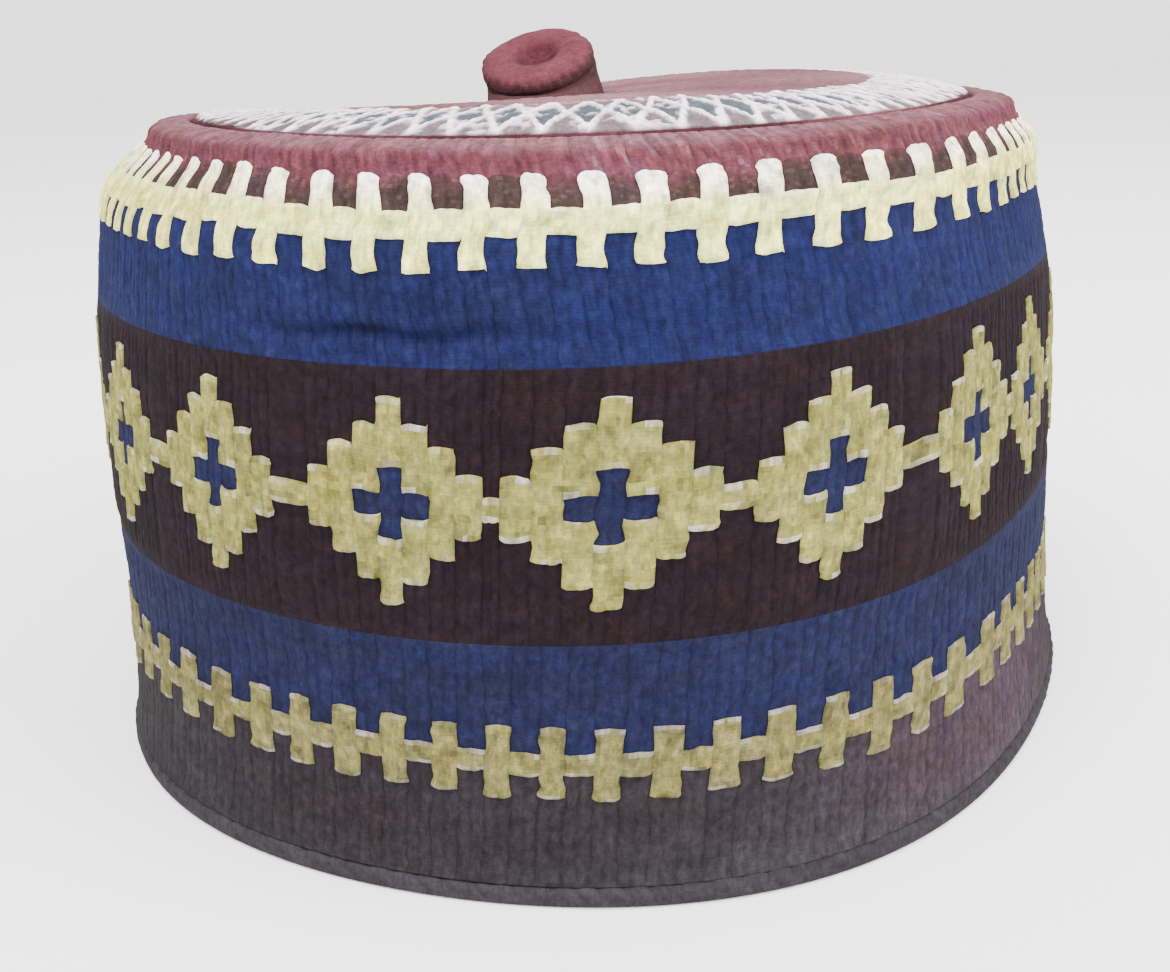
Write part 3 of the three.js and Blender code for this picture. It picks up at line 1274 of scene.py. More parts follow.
@dataclass
class UpperBand(LadderBand):
    """The blue band, the upper ladder and the maroon shoulder that turns in to the groove.

    The crease's turn and reach and the leans are in degrees, other turns in radians, and heights
    and depths in millimetres. A pair of numbers says where a change starts and where it is full.
    """

    crease_turn: float = -18.0
    crease_reach: float = 10.0
    crease_height: float = 88.6
    crease_depth: float = 0.9
    crease_width: float = 0.9
    crease_shade: float = 0.4
    swell_below: float = 2.2
    swell_share: float = 0.25
    fan: float = 0.4
    fan_from: float = 103.5
    fan_rise: float = 6.0
    upright: float = 0.14
    shoulder_from: tuple[float, float] = (107.5, 111.5)
    shoulder_end: float = 1.5
    shoulder_ribs: int = 168
    shoulder_depth: float = 0.13
    # Painted top light: the ladder turns whiter as it rises to the shoulder
    ivory: tuple[int, int, int] = (255, 248, 236)
    ivory_heights: tuple[float, float] = (103.2, 109.0)
    straw_aside: tuple[float, float] = (0.25, 0.8)
    straw_loss: tuple[float, float, float] = (0.06, 0.1, 0.26)
    red_heights: tuple[float, float] = (106.3, 109.8)
    red_waves: float = 1.3
    left_shade: float = 0.35
    left_from: tuple[float, float] = (0.2, 0.5)
    # A pale rose mixed into the shoulder: painted top light toward the groove, paler toward the left, and
    # painted crease highlights
    dusty: tuple[int, int, int] = (128, 94, 101)
    dusty_heights: tuple[float, float] = (110.6, 112.6)
    dusty_groove: float = 0.4
    dusty_left: float = 0.5
    dusty_left_from: tuple[float, float] = (0.5, 1.0)
    # Painted crease highlights round a turn, then painted crease light and shade over the shoulder
    pale_strokes: float = 0.55
    stroke_turn: float = -0.15
    stroke_reach: float = 0.6
    wear: float = 0.16

    def fanned(self, turn: Array, height: Array) -> Array:
        """How far the columns lean beyond the band's own slant.

        Args:
            turn: The turn.
            height: The height.

        Returns:
            Radians: the teeth fan out from the middle of the front and back, as sin(2t), and the
            blue below them leans less.
        """
        rise = np.clip(height - self.fan_from, 0, self.fan_rise)
        below = np.minimum(height - self.fan_from, 0)
        return np.radians(self.fan * rise) * np.sin(2 * turn) + np.radians(self.upright * below)

    def fold(self, turn: Array, middle: float, place_up: Array) -> Array:
        """Shapes a fold across the blue.

        Args:
            turn: The turn.
            middle: The place up the side of its middle.
            place_up: Each place up the side, as a length or a height, as the middle is.

        Returns:
            From 0 to 1: a narrow bell up the side times a broad one round it.
        """
        aside = nearest_turn(turn) - math.radians(self.crease_turn)
        narrow = hump(place_up, middle + 0.5 * np.sin(31 * turn), self.crease_width)
        return narrow * hump(aside, 0, math.radians(self.crease_reach))

    def extra_relief(self, turn: Array, length: Array) -> Array:
        """Adds the fold and the shoulder's ribs.

        Args:
            turn: The turns of the points.
            length: Their lengths up the side.

        Returns:
            Millimetres: the fold in the blue, with a soft swell below it, and radial ribs on the
            shoulder, as waves whose spacing and depth drift.
        """
        middle = self.profile.length_at(self.crease_height)
        swell = self.swell_share * self.fold(turn, middle - self.swell_below, length)
        folded = self.fold(turn, middle, length) - swell
        seam = self.profile.seam_length
        shoulder = smooth_step(length, *(self.profile.length_at(height) for height in self.shoulder_from))
        shoulder = shoulder * (1 - smooth_step(length, seam - self.shoulder_end, seam))
        ribs = np.cos(self.shoulder_ribs * turn + 2.2 * np.sin(9 * turn)) * (1 + 0.6 * np.sin(23 * turn))
        ribs = ribs + 0.8 * np.sin(67 * turn + 1.5 * np.sin(13 * turn))
        return -self.crease_depth * folded + self.shoulder_depth * ribs * shoulder

    def dyed(self, colours: Array, letters: Array, turn: Array, height: Array) -> Array:
        """Colours the band as the light and the dye have it.

        Args:
            colours: The faces' colours.
            letters: Their chart letters.
            turn: Their turns.
            height: Their heights.

        Returns:
            The ladder whiter toward its teeth with painted top light, and yellower at the sides, the
            brown faded into maroon, the shoulder paler toward the left and lighter toward the groove
            with painted top light, with painted crease highlights where two waves meet and painted
            crease light and shade across it, and the fold darker with painted shade.
        """
        is_ladder, is_gap, is_shoulder = (letters == letter for letter in "pur")
        # Painted top light: the ladder is mixed toward a whiter colour as it rises
        ivory = linear_light(self.ivory) / Thread.TOPLIT_STRAW.linear
        whiter = smooth_step(height, *self.ivory_heights) * is_ladder
        colours = colours * mixed(1.0, ivory, whiter)
        straw = smooth_step(np.abs(np.sin(turn)), *self.straw_aside) * is_ladder
        colours = colours * (1 - straw[..., None] * np.array(self.straw_loss))
        uneven = height + self.red_waves * np.sin(29 * turn) * np.sin(17 * turn + 1)
        redder = smooth_step(uneven, *self.red_heights) * is_gap
        darker = self.left_shade * is_gap * (1 - redder) * smooth_step(-turn, *self.left_from)
        maroon = Thread.MAROON.linear / Thread.BROWN.linear
        colours = colours * mixed(1.0, maroon, redder) * (1 - darker[..., None])
        # Painted crease highlights where two waves meet
        strokes = np.clip(np.sin(193 * turn + 2 * height) * np.sin(71 * turn + 1), 0, 1) ** 2
        # Painted top light toward the groove, and paler toward the left
        paler = self.dusty_groove * smooth_step(height, *self.dusty_heights)
        paler = paler + self.dusty_left * smooth_step(-turn, *self.dusty_left_from)
        paler = paler + self.pale_strokes * strokes * hump(turn, self.stroke_turn, self.stroke_reach)
        dusty = linear_light(self.dusty) / Thread.MAROON.linear
        colours = colours * mixed(1.0, dusty, paler * is_shoulder)
        # Painted crease light and shade: the shoulder lighter and darker in thin upright bands
        crease_shading = np.sin(131 * turn + 3 * np.sin(11 * turn)) * np.sin(47 * turn + 0.7 * height)
        colours = colours * (1 + self.wear * (is_shoulder * crease_shading)[..., None])
        return colours * (1 - self.crease_shade * self.fold(turn, self.crease_height, height)[..., None])


@dataclass
class DiamondBand(SideBand):
    """The dark band of stepped diamonds, each with a cross, linked in a row.

    The diamonds that the front shows are given by the turn of their middle and half of their
    width, in degrees. The rest are even between them.
    """

    repeat: int = 8
    unseen_half_width: float = 7.9
    cross_unit: float = 4.5
    arm_heights: tuple[float, float] = (61.7, 68.5)
    arm_reach: float = 1.6
    arm_pinch: float = 0.11

    def knots(self) -> tuple[Array, Array]:
        """Finds where the diamonds' sides go.

        Returns:
            Their chart units, and their turns in degrees, once round.
        """
        count = self.columns // self.repeat
        seen_turns = [turn for turn, _ in self.seen]
        unseen = np.linspace(seen_turns[-1], seen_turns[0] + 360, count - len(self.seen) + 2)[1:-1]
        turns = np.array([*seen_turns, *unseen])
        halves = np.array([half for _, half in self.seen] + [self.unseen_half_width] * len(unseen))
        first = -seen_turns.index(min(seen_turns, key=abs)) * self.repeat
        units = first + np.arange(count)[:, None] * self.repeat + np.array([1, self.repeat])
        return units.reshape(-1), np.stack([turns - halves, turns + halves], 1).reshape(-1)

    def sideways(self, unit: Array, length: Array, by: Unevenness) -> Array:
        """Adds to the soft hills: the upright arms of the crosses are slimmer than a unit.

        Args:
            unit: The chart unit of each point.
            length: Its length up the side.
            by: The unevenness.

        Returns:
            Chart units: a bell up each arm times sin(πs) across it, taken off the hills.
        """
        soft = super().sideways(unit, length, by)
        aside = unit - self.repeat * whole(unit / self.repeat) - self.cross_unit
        low, high = (hump(length, self.profile.length_at(arm), self.arm_reach) for arm in self.arm_heights)
        pinch = np.where(np.abs(aside) < 1, np.sin(math.pi * aside), 0)
        return soft - self.arm_pinch * (low + high) * pinch


# The top

@dataclass
class TopRing:
    """The outer part of the top: a ring of white lozenge outlines on grey-blue cloth."""

    form: CapForm
    name: str = "top_ring"
    seed: int = 21
    columns: int = 156
    inner_radius: float = 56.0
    border: float = 1.8
    row_pitch: float = 0.55
    edge_rows: int = 4
    under_step: float = 8.0
    tuck_length: float = 0.6
    tuck_depth: float = 1.3
    sample_shares: tuple = (0.0, 0.125, 0.25, 0.375, 0.5, 0.625, 0.75, 0.875)
    # The lozenges' outlines, in shares of a lozenge
    outline: float = 0.16
    outline_white: float = 0.95
    outline_fade: float = 0.35
    tip_knot: tuple[float, float] = (0.25, 0.13)
    side_knot: tuple[float, float] = (0.22, 0.12)
    border_shares: tuple[float, float] = (1.08, 1.16)
    border_cover: float = 0.8
    wander: Hills = ((0.32, 70, 4), (0.24, 170, 8))
    radial_wander: Hills = ((0.7, 48, 3), (0.6, 140, 4))
    patch_length: float = 1.5
    patch_rows: int = 29
    patch_share: float = 0.6
    blots: Hills = ((1.0, 210, 9),)
    blot_shares: tuple[float, float] = (0.4, 0.9)
    blot_white: float = 0.6
    # Colours and their unevenness
    border_colour: tuple[int, int, int] = (160, 128, 136)
    fill_colour: tuple[int, int, int] = (70, 78, 84)
    corner_colour: tuple[int, int, int] = (100, 88, 94)
    rim_reaches: tuple[float, float] = (-0.9, -0.3)
    rim_light: float = 0.8
    rim_hills: Hills = ((0.45, 24, 2),)
    left_turn: float = -1.2
    left_reach: float = 0.5
    left_shades: tuple[float, float] = (0.13, 0.4)
    pink_hills: Hills = ((0.5, 30, 3),)
    pink_loss: tuple[float, float, float] = (0.0, 0.08, 0.07)
    # Relief in millimetres, and its shade
    sunk: float = 0.35
    rib_height: float = 0.2
    outline_height: float = 0.36
    stitch_length: float = 2.2
    stitch_height: float = 0.1
    plump_height: float = 0.06
    plump_rows: int = 17
    swells: Hills = ((0.3, 16, 2),)
    border_sunk: float = 0.6
    plump_shade: float = 0.08
    rib_shade: float = 0.1
    stitch_shade: float = 0.08

    @property
    def rim(self) -> float:
        """The panel's outer radius."""
        return self.form.seam_radius - self.form.clearance / 2

    @property
    def centre(self) -> float:
        """The radius of the lozenges' middles."""
        return (self.rim + self.inner_radius) / 2

    def section(self) -> tuple[Array, Array, Array]:
        """The ring's section, from its underside out, round its edge and back in.

        Returns:
            Radius, lift off the crown, and one where the embroidery is, zero elsewhere.
        """
        form = self.form
        angle = np.linspace(0, math.pi / 2, self.edge_rows)
        edge_radius = self.rim - form.seam_rounding * (1 - np.cos(angle))
        edge_lift = -form.seam_rounding * (1 - np.sin(angle))
        steps = round((edge_radius[-1] - self.inner_radius) / self.row_pitch)
        top_radius = np.linspace(edge_radius[-1], self.inner_radius, steps + 1)[1:]
        under = [self.inner_radius, self.rim - self.under_step, self.rim]
        radius = np.concatenate([under, edge_radius, top_radius, [self.inner_radius - self.tuck_length]])
        lift = np.concatenate([[-form.panel_thickness] * 3, edge_lift, 0 * top_radius, [-self.tuck_depth]])
        upper = np.zeros(len(radius))
        upper[len(under) + self.edge_rows - 1 : -1] = 1
        return radius, lift[:, None], upper[:, None]

    def build(self) -> Grid:
        """Works out the ring.

        Returns:
            The underside, the outer edge and the upper face. The outlines are where d + e is near
            one, with d from 0 to 1 from a lozenge's middle to its sides and e from its middle to
            its tips.
        """
        radius, lift, upper = self.section()
        unit, radius_grid = np.meshgrid(columns_of(self.columns, self.sample_shares), radius)
        inward = (self.rim - radius_grid) / (self.rim - self.inner_radius)
        by = Unevenness(self.seed, unit / self.columns, inward)
        moved_unit = unit + by.hills(self.wander)
        moved_radius = radius_grid + by.hills(self.radial_wander)
        side = off_middle(moved_unit / 2)
        tip = np.abs(moved_radius - self.centre) / ((self.rim - self.inner_radius) / 2 - self.border)
        at_border = smooth_step(tip, *self.border_shares)
        white = self.outlined(side, tip, unit, moved_radius, by)
        colour = self.coloured(side, tip, white, at_border, moved_radius, upper, by)
        across = off_middle(unit)
        rows = moved_radius / self.stitch_length
        bulge = 1 - off_middle(rows) ** 3
        plump = by.cells(whole(unit), whole(rows), (self.columns, self.plump_rows))
        stitches = (self.stitch_height + self.plump_height * plump) * bulge
        relief = self.rib_height * (1 - across**3) + stitches + self.outline_height * white
        relief = relief + by.hills(self.swells) - self.sunk
        fine = 1 + self.plump_shade * plump - self.rib_shade * across**6 - self.stitch_shade * (1 - bulge)
        flatter = 1 - self.border_sunk * at_border * (moved_radius > self.centre)
        turn = moved_unit / self.columns * 2 * math.pi
        points = self.form.on_crown(turn, radius_grid, lift + relief * upper * flatter)
        along = summed(np.abs(np.diff(radius)) + np.abs(np.diff(lift[:, 0])) + LEAST_STEP)
        return Grid(points, plain_faces(points), colour * fine[..., None], along, Closing.LOOP)

    def outlined(
        self, side: Array, tip: Array, unit: Array, moved_radius: Array, by: Unevenness
    ) -> Array:
        """The share of white thread.

        Args:
            side: Each point's share from a lozenge's middle to its sides.
            tip: Its share from the middle to the tips.
            unit: Its unit round the ring.
            moved_radius: Its radius, after the stitches' wander.
            by: The unevenness.

        Returns:
            Shares from 0 to 1: the outlines, thinned by blots, a knot at each side and each tip,
            and blots of white.
        """
        line = 1 - smooth_step(np.abs(side + tip - 1), self.outline * 0.75, self.outline * 1.25)
        knot = hump(side, 0, self.tip_knot[0]) * hump(tip, 1, self.tip_knot[1])
        knot = knot + hump(side, 1, self.side_knot[0]) * hump(tip, 0, self.side_knot[1])
        row = whole(moved_radius / self.patch_length)
        patch = by.cells(whole(unit * 2), row, (2 * self.columns, self.patch_rows))
        blots = by.hills(self.blots) + self.patch_share * patch
        line = line * (self.outline_white - self.outline_fade * np.clip(-blots, 0, 1))
        return np.clip(line + knot + self.blot_white * smooth_step(blots, *self.blot_shares), 0, 1)

    def coloured(
        self,
        side: Array,
        tip: Array,
        white: Array,
        at_border: Array,
        moved_radius: Array,
        upper: Array,
        by: Unevenness,
    ) -> Array:
        """Colours the ring's points.

        Args:
            side: Each point's share from a lozenge's middle to its sides.
            tip: Its share from the middle to the tips.
            white: Its share of white thread.
            at_border: Its share of the borders.
            moved_radius: Its radius, after the stitches' wander.
            upper: One where the embroidery is.
            by: The unevenness.

        Returns:
            Linear colours: grey-blue lozenges and browner corners under the white thread, dusty
            borders, a maroon rim and underside, darker at the left.
        """
        inside = smooth_step(1 - side - tip, 0, 0.2)
        colour = mixed(linear_light(self.corner_colour), linear_light(self.fill_colour), inside)
        colour = mixed(colour, Thread.WHITE.linear, white)
        colour = mixed(colour, linear_light(self.border_colour), at_border * self.border_cover)
        low, high = (self.rim + reach for reach in self.rim_reaches)
        rim_share = np.maximum(smooth_step(moved_radius, low, high), 1 - upper)
        maroon = Thread.MAROON.linear * (self.rim_light + by.hills(self.rim_hills))[..., None]
        colour = mixed(colour, maroon, rim_share)
        seen_left = hump(nearest_turn(by.around * 2 * math.pi), self.left_turn, self.left_reach)
        thread_shade, cloth_shade = self.left_shades
        colour = colour * (1 - (thread_shade + cloth_shade * (1 - white)) * seen_left)[..., None]
        pinkish = 0.5 + by.hills(self.pink_hills)
        return colour * (1 - pinkish[..., None] * np.array(self.pink_loss))


def plain_faces(points: Array) -> Array:
    """White for every face between rows of points, where their shade holds the whole colour."""
    return np.ones((len(points) - 1, points.shape[1], 3))


@dataclass
class TopDisc:
    """The middle of the top, stitched in rings round the button."""

    form: CapForm
    name: str = "top_disc"
    seed: int = 22
    radius: float = 56.0
    columns: int = 480
    row_pitch: float = 0.75
    under_radii: tuple[float, float] = (4.0, 30.0)
    middle_radius: float = 1.0
    tuck_length: float = 0.6
    tuck_depth: float = 1.3
    sunk: float = 0.3
    ring_pitch: float = 3.1
    ring_height: float = 0.3
    ring_shade: float = 0.16
    ring_wander: Hills = ((0.5, 24, 6),)
    stitch_length: float = 3.4
    fewest_stitches: int = 6
    stitch_height: float = 0.12
    stitch_shade: float = 0.06
    plump_height: float = 0.07
    plump_shade: float = 0.06
    plump_counts: tuple[int, int] = (97, 23)
    swells: Hills = ((0.3, 9, 3),)
    fade_radii: tuple[float, float] = (3.0, 9.0)
    dusty: tuple[int, int, int] = (132, 100, 106)
    dusty_share: float = 0.45
    dusty_hills: Hills = ((0.25, 12, 4),)

    def build(self) -> Grid:
        """Works out the disc.

        Returns:
            The underside from its middle out, then the upper face back in, both closed at the
            middle. Rings are 1 - |x|³ across each, and their stitches 1 - x⁴ along it.
        """
        form = self.form
        edge = self.radius + self.tuck_length
        steps = round((self.radius - self.middle_radius) / self.row_pitch)
        top_radius = np.linspace(self.radius, self.middle_radius, steps + 1)
        radius = np.concatenate([self.under_radii, [edge], top_radius])
        lift = np.concatenate([[-form.panel_thickness] * 2 + [-self.tuck_depth], 0 * top_radius])[:, None]
        upper = np.concatenate([[0, 0, 0], np.ones(len(top_radius))])[:, None]
        around, radius_grid = np.meshgrid(np.arange(self.columns) / self.columns, radius)
        by = Unevenness(self.seed, around, 1 - radius_grid / edge)
        rings = (radius_grid + by.hills(self.ring_wander)) / self.ring_pitch + around
        ring = whole(rings)
        across = off_middle(rings)
        length_round = 2 * math.pi * (ring + 1) * self.ring_pitch
        stitches = around * np.maximum(self.fewest_stitches, np.round(length_round / self.stitch_length))
        bulge = 1 - off_middle(stitches) ** 4
        plump = by.cells(whole(stitches), ring, self.plump_counts)
        fade = smooth_step(radius_grid, *self.fade_radii)
        stitched = (self.stitch_height + self.plump_height * plump) * bulge
        relief = self.ring_height * (1 - across**3) + stitched + by.hills(self.swells)
        relief = relief * fade - self.sunk
        tone = (1 - self.ring_shade * across**6 * fade) * (1 - self.stitch_shade * (1 - bulge))
        tone = tone * (1 + self.plump_shade * plump)
        share = self.dusty_share + by.hills(self.dusty_hills)
        colour = mixed(Thread.MAROON.linear, linear_light(self.dusty), share)
        points = form.on_crown(around * 2 * math.pi, radius_grid, lift + relief * upper)
        along = summed(np.abs(np.diff(radius)) + LEAST_STEP)
        return Grid(points, plain_faces(points), colour * tone[..., None], along, Closing.POLES)


@dataclass
class TopButton:
    """The rolled stub of cloth on the middle of the top, with a dimple and an overcast rim."""

    form: CapForm
    name: str = "rolled_button"
    seed: int = 24
    columns: int = 224
    fineness: int = 9
    sunk: float = 0.5
    blend_end: float = 0.8
    # Up as a share of the button's height, and out as a share of its radius
    profile_rows: tuple = (
        (0.0, 1.06),
        (0.14, 1.03),
        (0.45, 0.99),
        (0.7, 1.0),
        (0.97, 0.98),
        (1.11, 0.88),
        (1.17, 0.74),
        (1.16, 0.56),
        (1.1, 0.42),
        (0.99, 0.31),
        (0.9, 0.19),
        (0.87, 0.05),
    )
    # Middles and reaches, as shares of the way from the foot over the rim to the dimple
    rim: tuple[float, float] = (0.36, 0.05)
    neck: tuple[float, float] = (0.27, 0.025)
    neck_shadow: tuple[float, float] = (0.27, 0.03)
    face_shares: tuple[float, float] = (0.3, 0.46)
    dimple_shares: tuple[float, float] = (0.68, 0.84)
    stitch_count: int = 30
    stitch_wander: Hills = ((0.3, 20, 1),)
    stitch_height: float = 0.4
    stitch_unevenness: float = 0.4
    rim_sunk: float = 0.3
    neck_depth: float = 0.2
    neck_shade: float = 0.35
    swells: Hills = ((0.3, 7, 3), (0.12, 30, 12))
    tone_hills: Hills = ((0.08, 16, 6),)
    # Painted light and shade: the face, turned up to the light, is lighter than the side, and the dimple is
    # darker with painted shade
    face_colour: tuple[int, int, int] = (95, 50, 58)
    side_colour: tuple[int, int, int] = (70, 45, 47)
    dimple_colour: tuple[int, int, int] = (78, 38, 46)

    def rolled(self, turn: Array, share_up: Array, out: Array) -> Array:
        """Places the button's points without its stitches.

        Args:
            turn: Turns, one for each column.
            share_up: Shares of the button's height, one for each row.
            out: Shares of its radius, one for each row.

        Returns:
            Points blended by their share up, from the crown's own slope at the foot to a frame
            that leans to the front and the left.
        """
        form = self.form
        lean_front = math.radians(form.button_lean_front)
        lean_left = math.radians(form.button_lean_left)
        leaning = Matrix.Rotation(lean_front, 3, "X") @ Matrix.Rotation(-lean_left, 3, "Y")
        foot_height = form.crown_height(np.array(form.button_across), np.array(0.0)) + form.clearance
        foot = np.array([form.button_across, 0, float(foot_height)])
        radius = form.button_radius * out
        flat = np.stack([radius * np.sin(turn), -radius * np.cos(turn), 0 * radius * turn], -1)
        tilted = flat.copy()
        tilted[..., 2] = form.button_height * (share_up - 1)
        tilted = tilted @ np.array(leaning).T + foot
        tilted = tilted + form.button_height * np.array([-math.sin(lean_left), 0, 1])
        upright = flat + foot
        ground = form.crown_height(upright[..., 0], upright[..., 1]) + form.clearance
        upright[..., 2] = ground + form.button_height * share_up - self.sunk * (1 - share_up)
        return mixed(upright, tilted, smooth_step(share_up, 0, self.blend_end))

    def build(self) -> Grid:
        """Works out the button.

        Returns:
            Rings from the foot up over the rim and down into the dimple, with the rim overcast, painted
            light on the face, and painted shade on the side and in the dimple.
        """
        form = self.form
        rows = even_spline(np.array(self.profile_rows), self.fineness)
        around, order = np.meshgrid(np.arange(self.columns) / self.columns, np.linspace(0, 1, len(rows)))
        turn = around * 2 * math.pi
        points = self.rolled(turn[:1], rows[:, :1], rows[:, 1:])
        by = Unevenness(self.seed, around, order)
        stitches = around * self.stitch_count + by.hills(self.stitch_wander)
        bulge = 1 - off_middle(stitches) ** 2
        stitch = whole(stitches)
        plump = by.cells(stitch, 0 * stitch, (self.stitch_count, 1))
        overcast = self.stitch_height * bulge * (1 + self.stitch_unevenness * plump) - self.rim_sunk
        relief = by.hills(self.swells) + hump(order, *self.rim) * overcast
        relief = relief - self.neck_depth * hump(order, *self.neck)
        points = points + outward(points) * relief[..., None]
        # Painted light on the face, and painted shade on the side and in the dimple
        side, face = linear_light(self.side_colour), linear_light(self.face_colour)
        colour = mixed(side, face, smooth_step(order, *self.face_shares))
        colour = mixed(colour, linear_light(self.dimple_colour), smooth_step(order, *self.dimple_shares))
        tone = 1 - self.neck_shade * hump(order, *self.neck_shadow) * (1 - 0.5 * bulge)
        tone = tone * (1 + by.hills(self.tone_hills))
        steps = np.hypot(np.diff(rows[:, 0]) * form.button_height, np.diff(rows[:, 1]) * form.button_radius)
        return Grid(points, plain_faces(points), colour * tone[..., None], summed(steps), Closing.POLES)


# The hem

@dataclass
class HemBinding:
    """The folded strip round the mouth, overcast along its upper edge."""

    form: CapForm
    profile: SideProfile
    name: str = "hem_strip"
    seed: int = 23
    columns: int = 1080
    rounding_steps: int = 5
    side_steps: int = 6
    stitch_count: int = 150
    stitch_slant: float = 0.25
    stitch_wander: Hills = ((0.35, 90, 1),)
    stitch_height: float = 0.28
    stitch_unevenness: float = 0.3
    stitch_heights: tuple[float, float] = (0.4, 1.6)
    sunk: float = 0.1
    swells: Hills = ((0.25, 18, 1),)
    stitch_shade: float = 0.12
    plump_shade: float = 0.08
    tone_hills: Hills = ((0.1, 24, 1),)

    def outline(self) -> tuple[Array, Array]:
        """The strip's outline, from the inside of its foot out, up and back in.

        Returns:
            Radius and height: four quarter rounds, with straight runs between them.
        """
        form = self.form
        foot = float(self.profile.radius[0])
        outer = foot + form.hem_proud
        inner = foot - form.wall_thickness - form.hem_proud
        turned = form.hem_rounding
        corners = (
            (outer - turned, turned, -90),
            (outer - turned, form.hem_height - turned, 0),
            (inner + turned, form.hem_height - turned, 90),
            (inner + turned, turned, 180),
        )
        radius = []
        height = []
        for across, up, start in corners:
            angle = np.radians(np.linspace(start, start + 90, self.rounding_steps + 1))
            radius.append(across + turned * np.cos(angle))
            height.append(up + turned * np.sin(angle))
            if start == -90:
                rise = np.linspace(height[-1][-1], corners[1][1], self.side_steps + 1)[1:-1]
                height.append(rise)
                radius.append(np.full(len(rise), outer))
        return np.concatenate(radius), np.concatenate(height)

    def build(self) -> Grid:
        """Works out the strip.

        Returns:
            The closed outline carried round, flat where it stands, with slanting stitches over
            its upper half.
        """
        radius, height = self.outline()
        around, radius_grid = np.meshgrid(np.arange(self.columns) / self.columns, radius)
        height_grid = height[:, None] + 0 * around
        points = self.form.on_side(around * 2 * math.pi, radius_grid, height_grid)
        by = Unevenness(self.seed, around, 0 * around)
        stitches = around * self.stitch_count + self.stitch_slant * height_grid
        stitches = stitches + by.hills(self.stitch_wander)
        bulge = 1 - off_middle(stitches) ** 3
        stitch = whole(stitches)
        plump = by.cells(stitch, 0 * stitch, (self.stitch_count, 1))
        overcast = self.stitch_height * bulge * (1 + self.stitch_unevenness * plump) - self.sunk
        relief = smooth_step(height_grid, *self.stitch_heights) * (overcast + by.hills(self.swells))
        points = points + outward(points) * relief[..., None]
        points[..., 2] = np.maximum(points[..., 2], 0)
        tone = (1 - self.stitch_shade * (1 - bulge)) * (1 + self.plump_shade * plump)
        tone = tone * (1 + by.hills(self.tone_hills))
        colours = plain_faces(points) * Thread.BINDING.linear
        along = summed(np.hypot(np.diff(radius), np.diff(height)) + LEAST_STEP)
        return Grid(points, colours, tone[..., None], along, Closing.LOOP)


# The room round it

@dataclass(frozen=True)
class Studio:
    """A pale floor, soft light, and the camera at the photograph's angle."""

    image_width: float = 1170.0
    focal_pixels: float = 1325.6
    sensor_width: float = 36.0
    nearest_seen: float = 0.01
    camera_place: tuple[float, float, float] = (-11.16, -266.4, 124.9)
    yaw: float = 2.299
    pitch: float = 18.737
    roll: float = -2.071
    floor_size: float = 8.0
    floor_colour: tuple[float, float, float] = (0.97, 0.97, 0.97)
    floor_roughness: float = 0.9
    sky_colour: tuple[float, float, float, float] = (1.0, 1.0, 1.0, 1.0)
    sky_strength: float = 2.3
    lit_height: float = 0.06
    # Name, place and size in metres, and power
    lamps: tuple = (
        ("key_light", (-0.3, -0.6, 1.25), 0.9, 34.0),
        ("fill_light", (0.9, -0.5, 0.9), 0.8, 22.0),
    )

    def camera(self, middle: Array) -> None:
        """Makes the camera: turned by yaw, tipped down by pitch, then rolled about its own view.

        Args:
            middle: The x and y that go to the Z axis.
        """
        yaw, pitch, roll = (math.radians(angle) for angle in (self.yaw, self.pitch, self.roll))
        ahead = Vector((math.sin(yaw) * math.cos(pitch), math.cos(yaw) * math.cos(pitch), -math.sin(pitch)))
        level = Vector((math.cos(yaw), -math.sin(yaw), 0))
        above = level.cross(ahead)
        right = math.cos(roll) * level + math.sin(roll) * above
        up = -math.sin(roll) * level + math.cos(roll) * above
        data = bpy.data.cameras.new("camera")
        data.sensor_width = self.sensor_width
        data.lens = self.sensor_width * self.focal_pixels / self.image_width
        data.clip_start = self.nearest_seen
        camera = bpy.data.objects.new("camera", data)
        bpy.context.scene.collection.objects.link(camera)
        place_at = Vector(self.camera_place) - Vector((middle[0], middle[1], 0))
        turned = Matrix((right, up, -ahead)).transposed().to_4x4()
        camera.matrix_world = Matrix.Translation(place_at * METRES) @ turned
        bpy.context.scene.camera = camera

    def floor(self) -> None:
        """Makes the floor, a plain pale square."""
        half = self.floor_size / 2
        corners = [(-half, -half, 0), (half, -half, 0), (half, half, 0), (-half, half, 0)]
        mesh = bpy.data.meshes.new("floor")
        mesh.from_pydata(corners, [], [(0, 1, 2, 3)])
        sheet = NodeSheet("pale_floor")
        sheet.put(sheet.shader, "Base Color", (*self.floor_colour, 1))
        sheet.put(sheet.shader, "Roughness", self.floor_roughness)
        mesh.materials.append(sheet.material)
        floor = bpy.data.objects.new("floor", mesh)
        bpy.context.scene.collection.objects.link(floor)

    def light(self, name: str, spot: tuple, size: float, power: float) -> None:
        """Makes a square soft light that faces the cap's middle.

        Args:
            name: Its name.
            spot: Its place, in metres.
            size: Its side, in metres.
            power: Its power.
        """
        data = bpy.data.lights.new(name, "AREA")
        data.size = size
        data.energy = power
        lamp = bpy.data.objects.new(name, data)
        bpy.context.scene.collection.objects.link(lamp)
        lamp.location = spot
        aim = Vector((0, 0, self.lit_height)) - Vector(spot)
        lamp.rotation_euler = aim.to_track_quat("-Z", "Y").to_euler()

    def build(self, middle: Array) -> None:
        """Makes the whole studio.

        Args:
            middle: The x and y that go to the Z axis.
        """
        self.floor()
        self.camera(middle)
        for lamp in self.lamps:
            self.light(*lamp)
        world = bpy.data.worlds.new("soft_room")
        world.use_nodes = True
        background = world.node_tree.nodes["Background"]
        background.inputs["Color"].default_value = self.sky_colour
        background.inputs["Strength"].default_value = self.sky_strength
        bpy.context.scene.world = world


# The cap

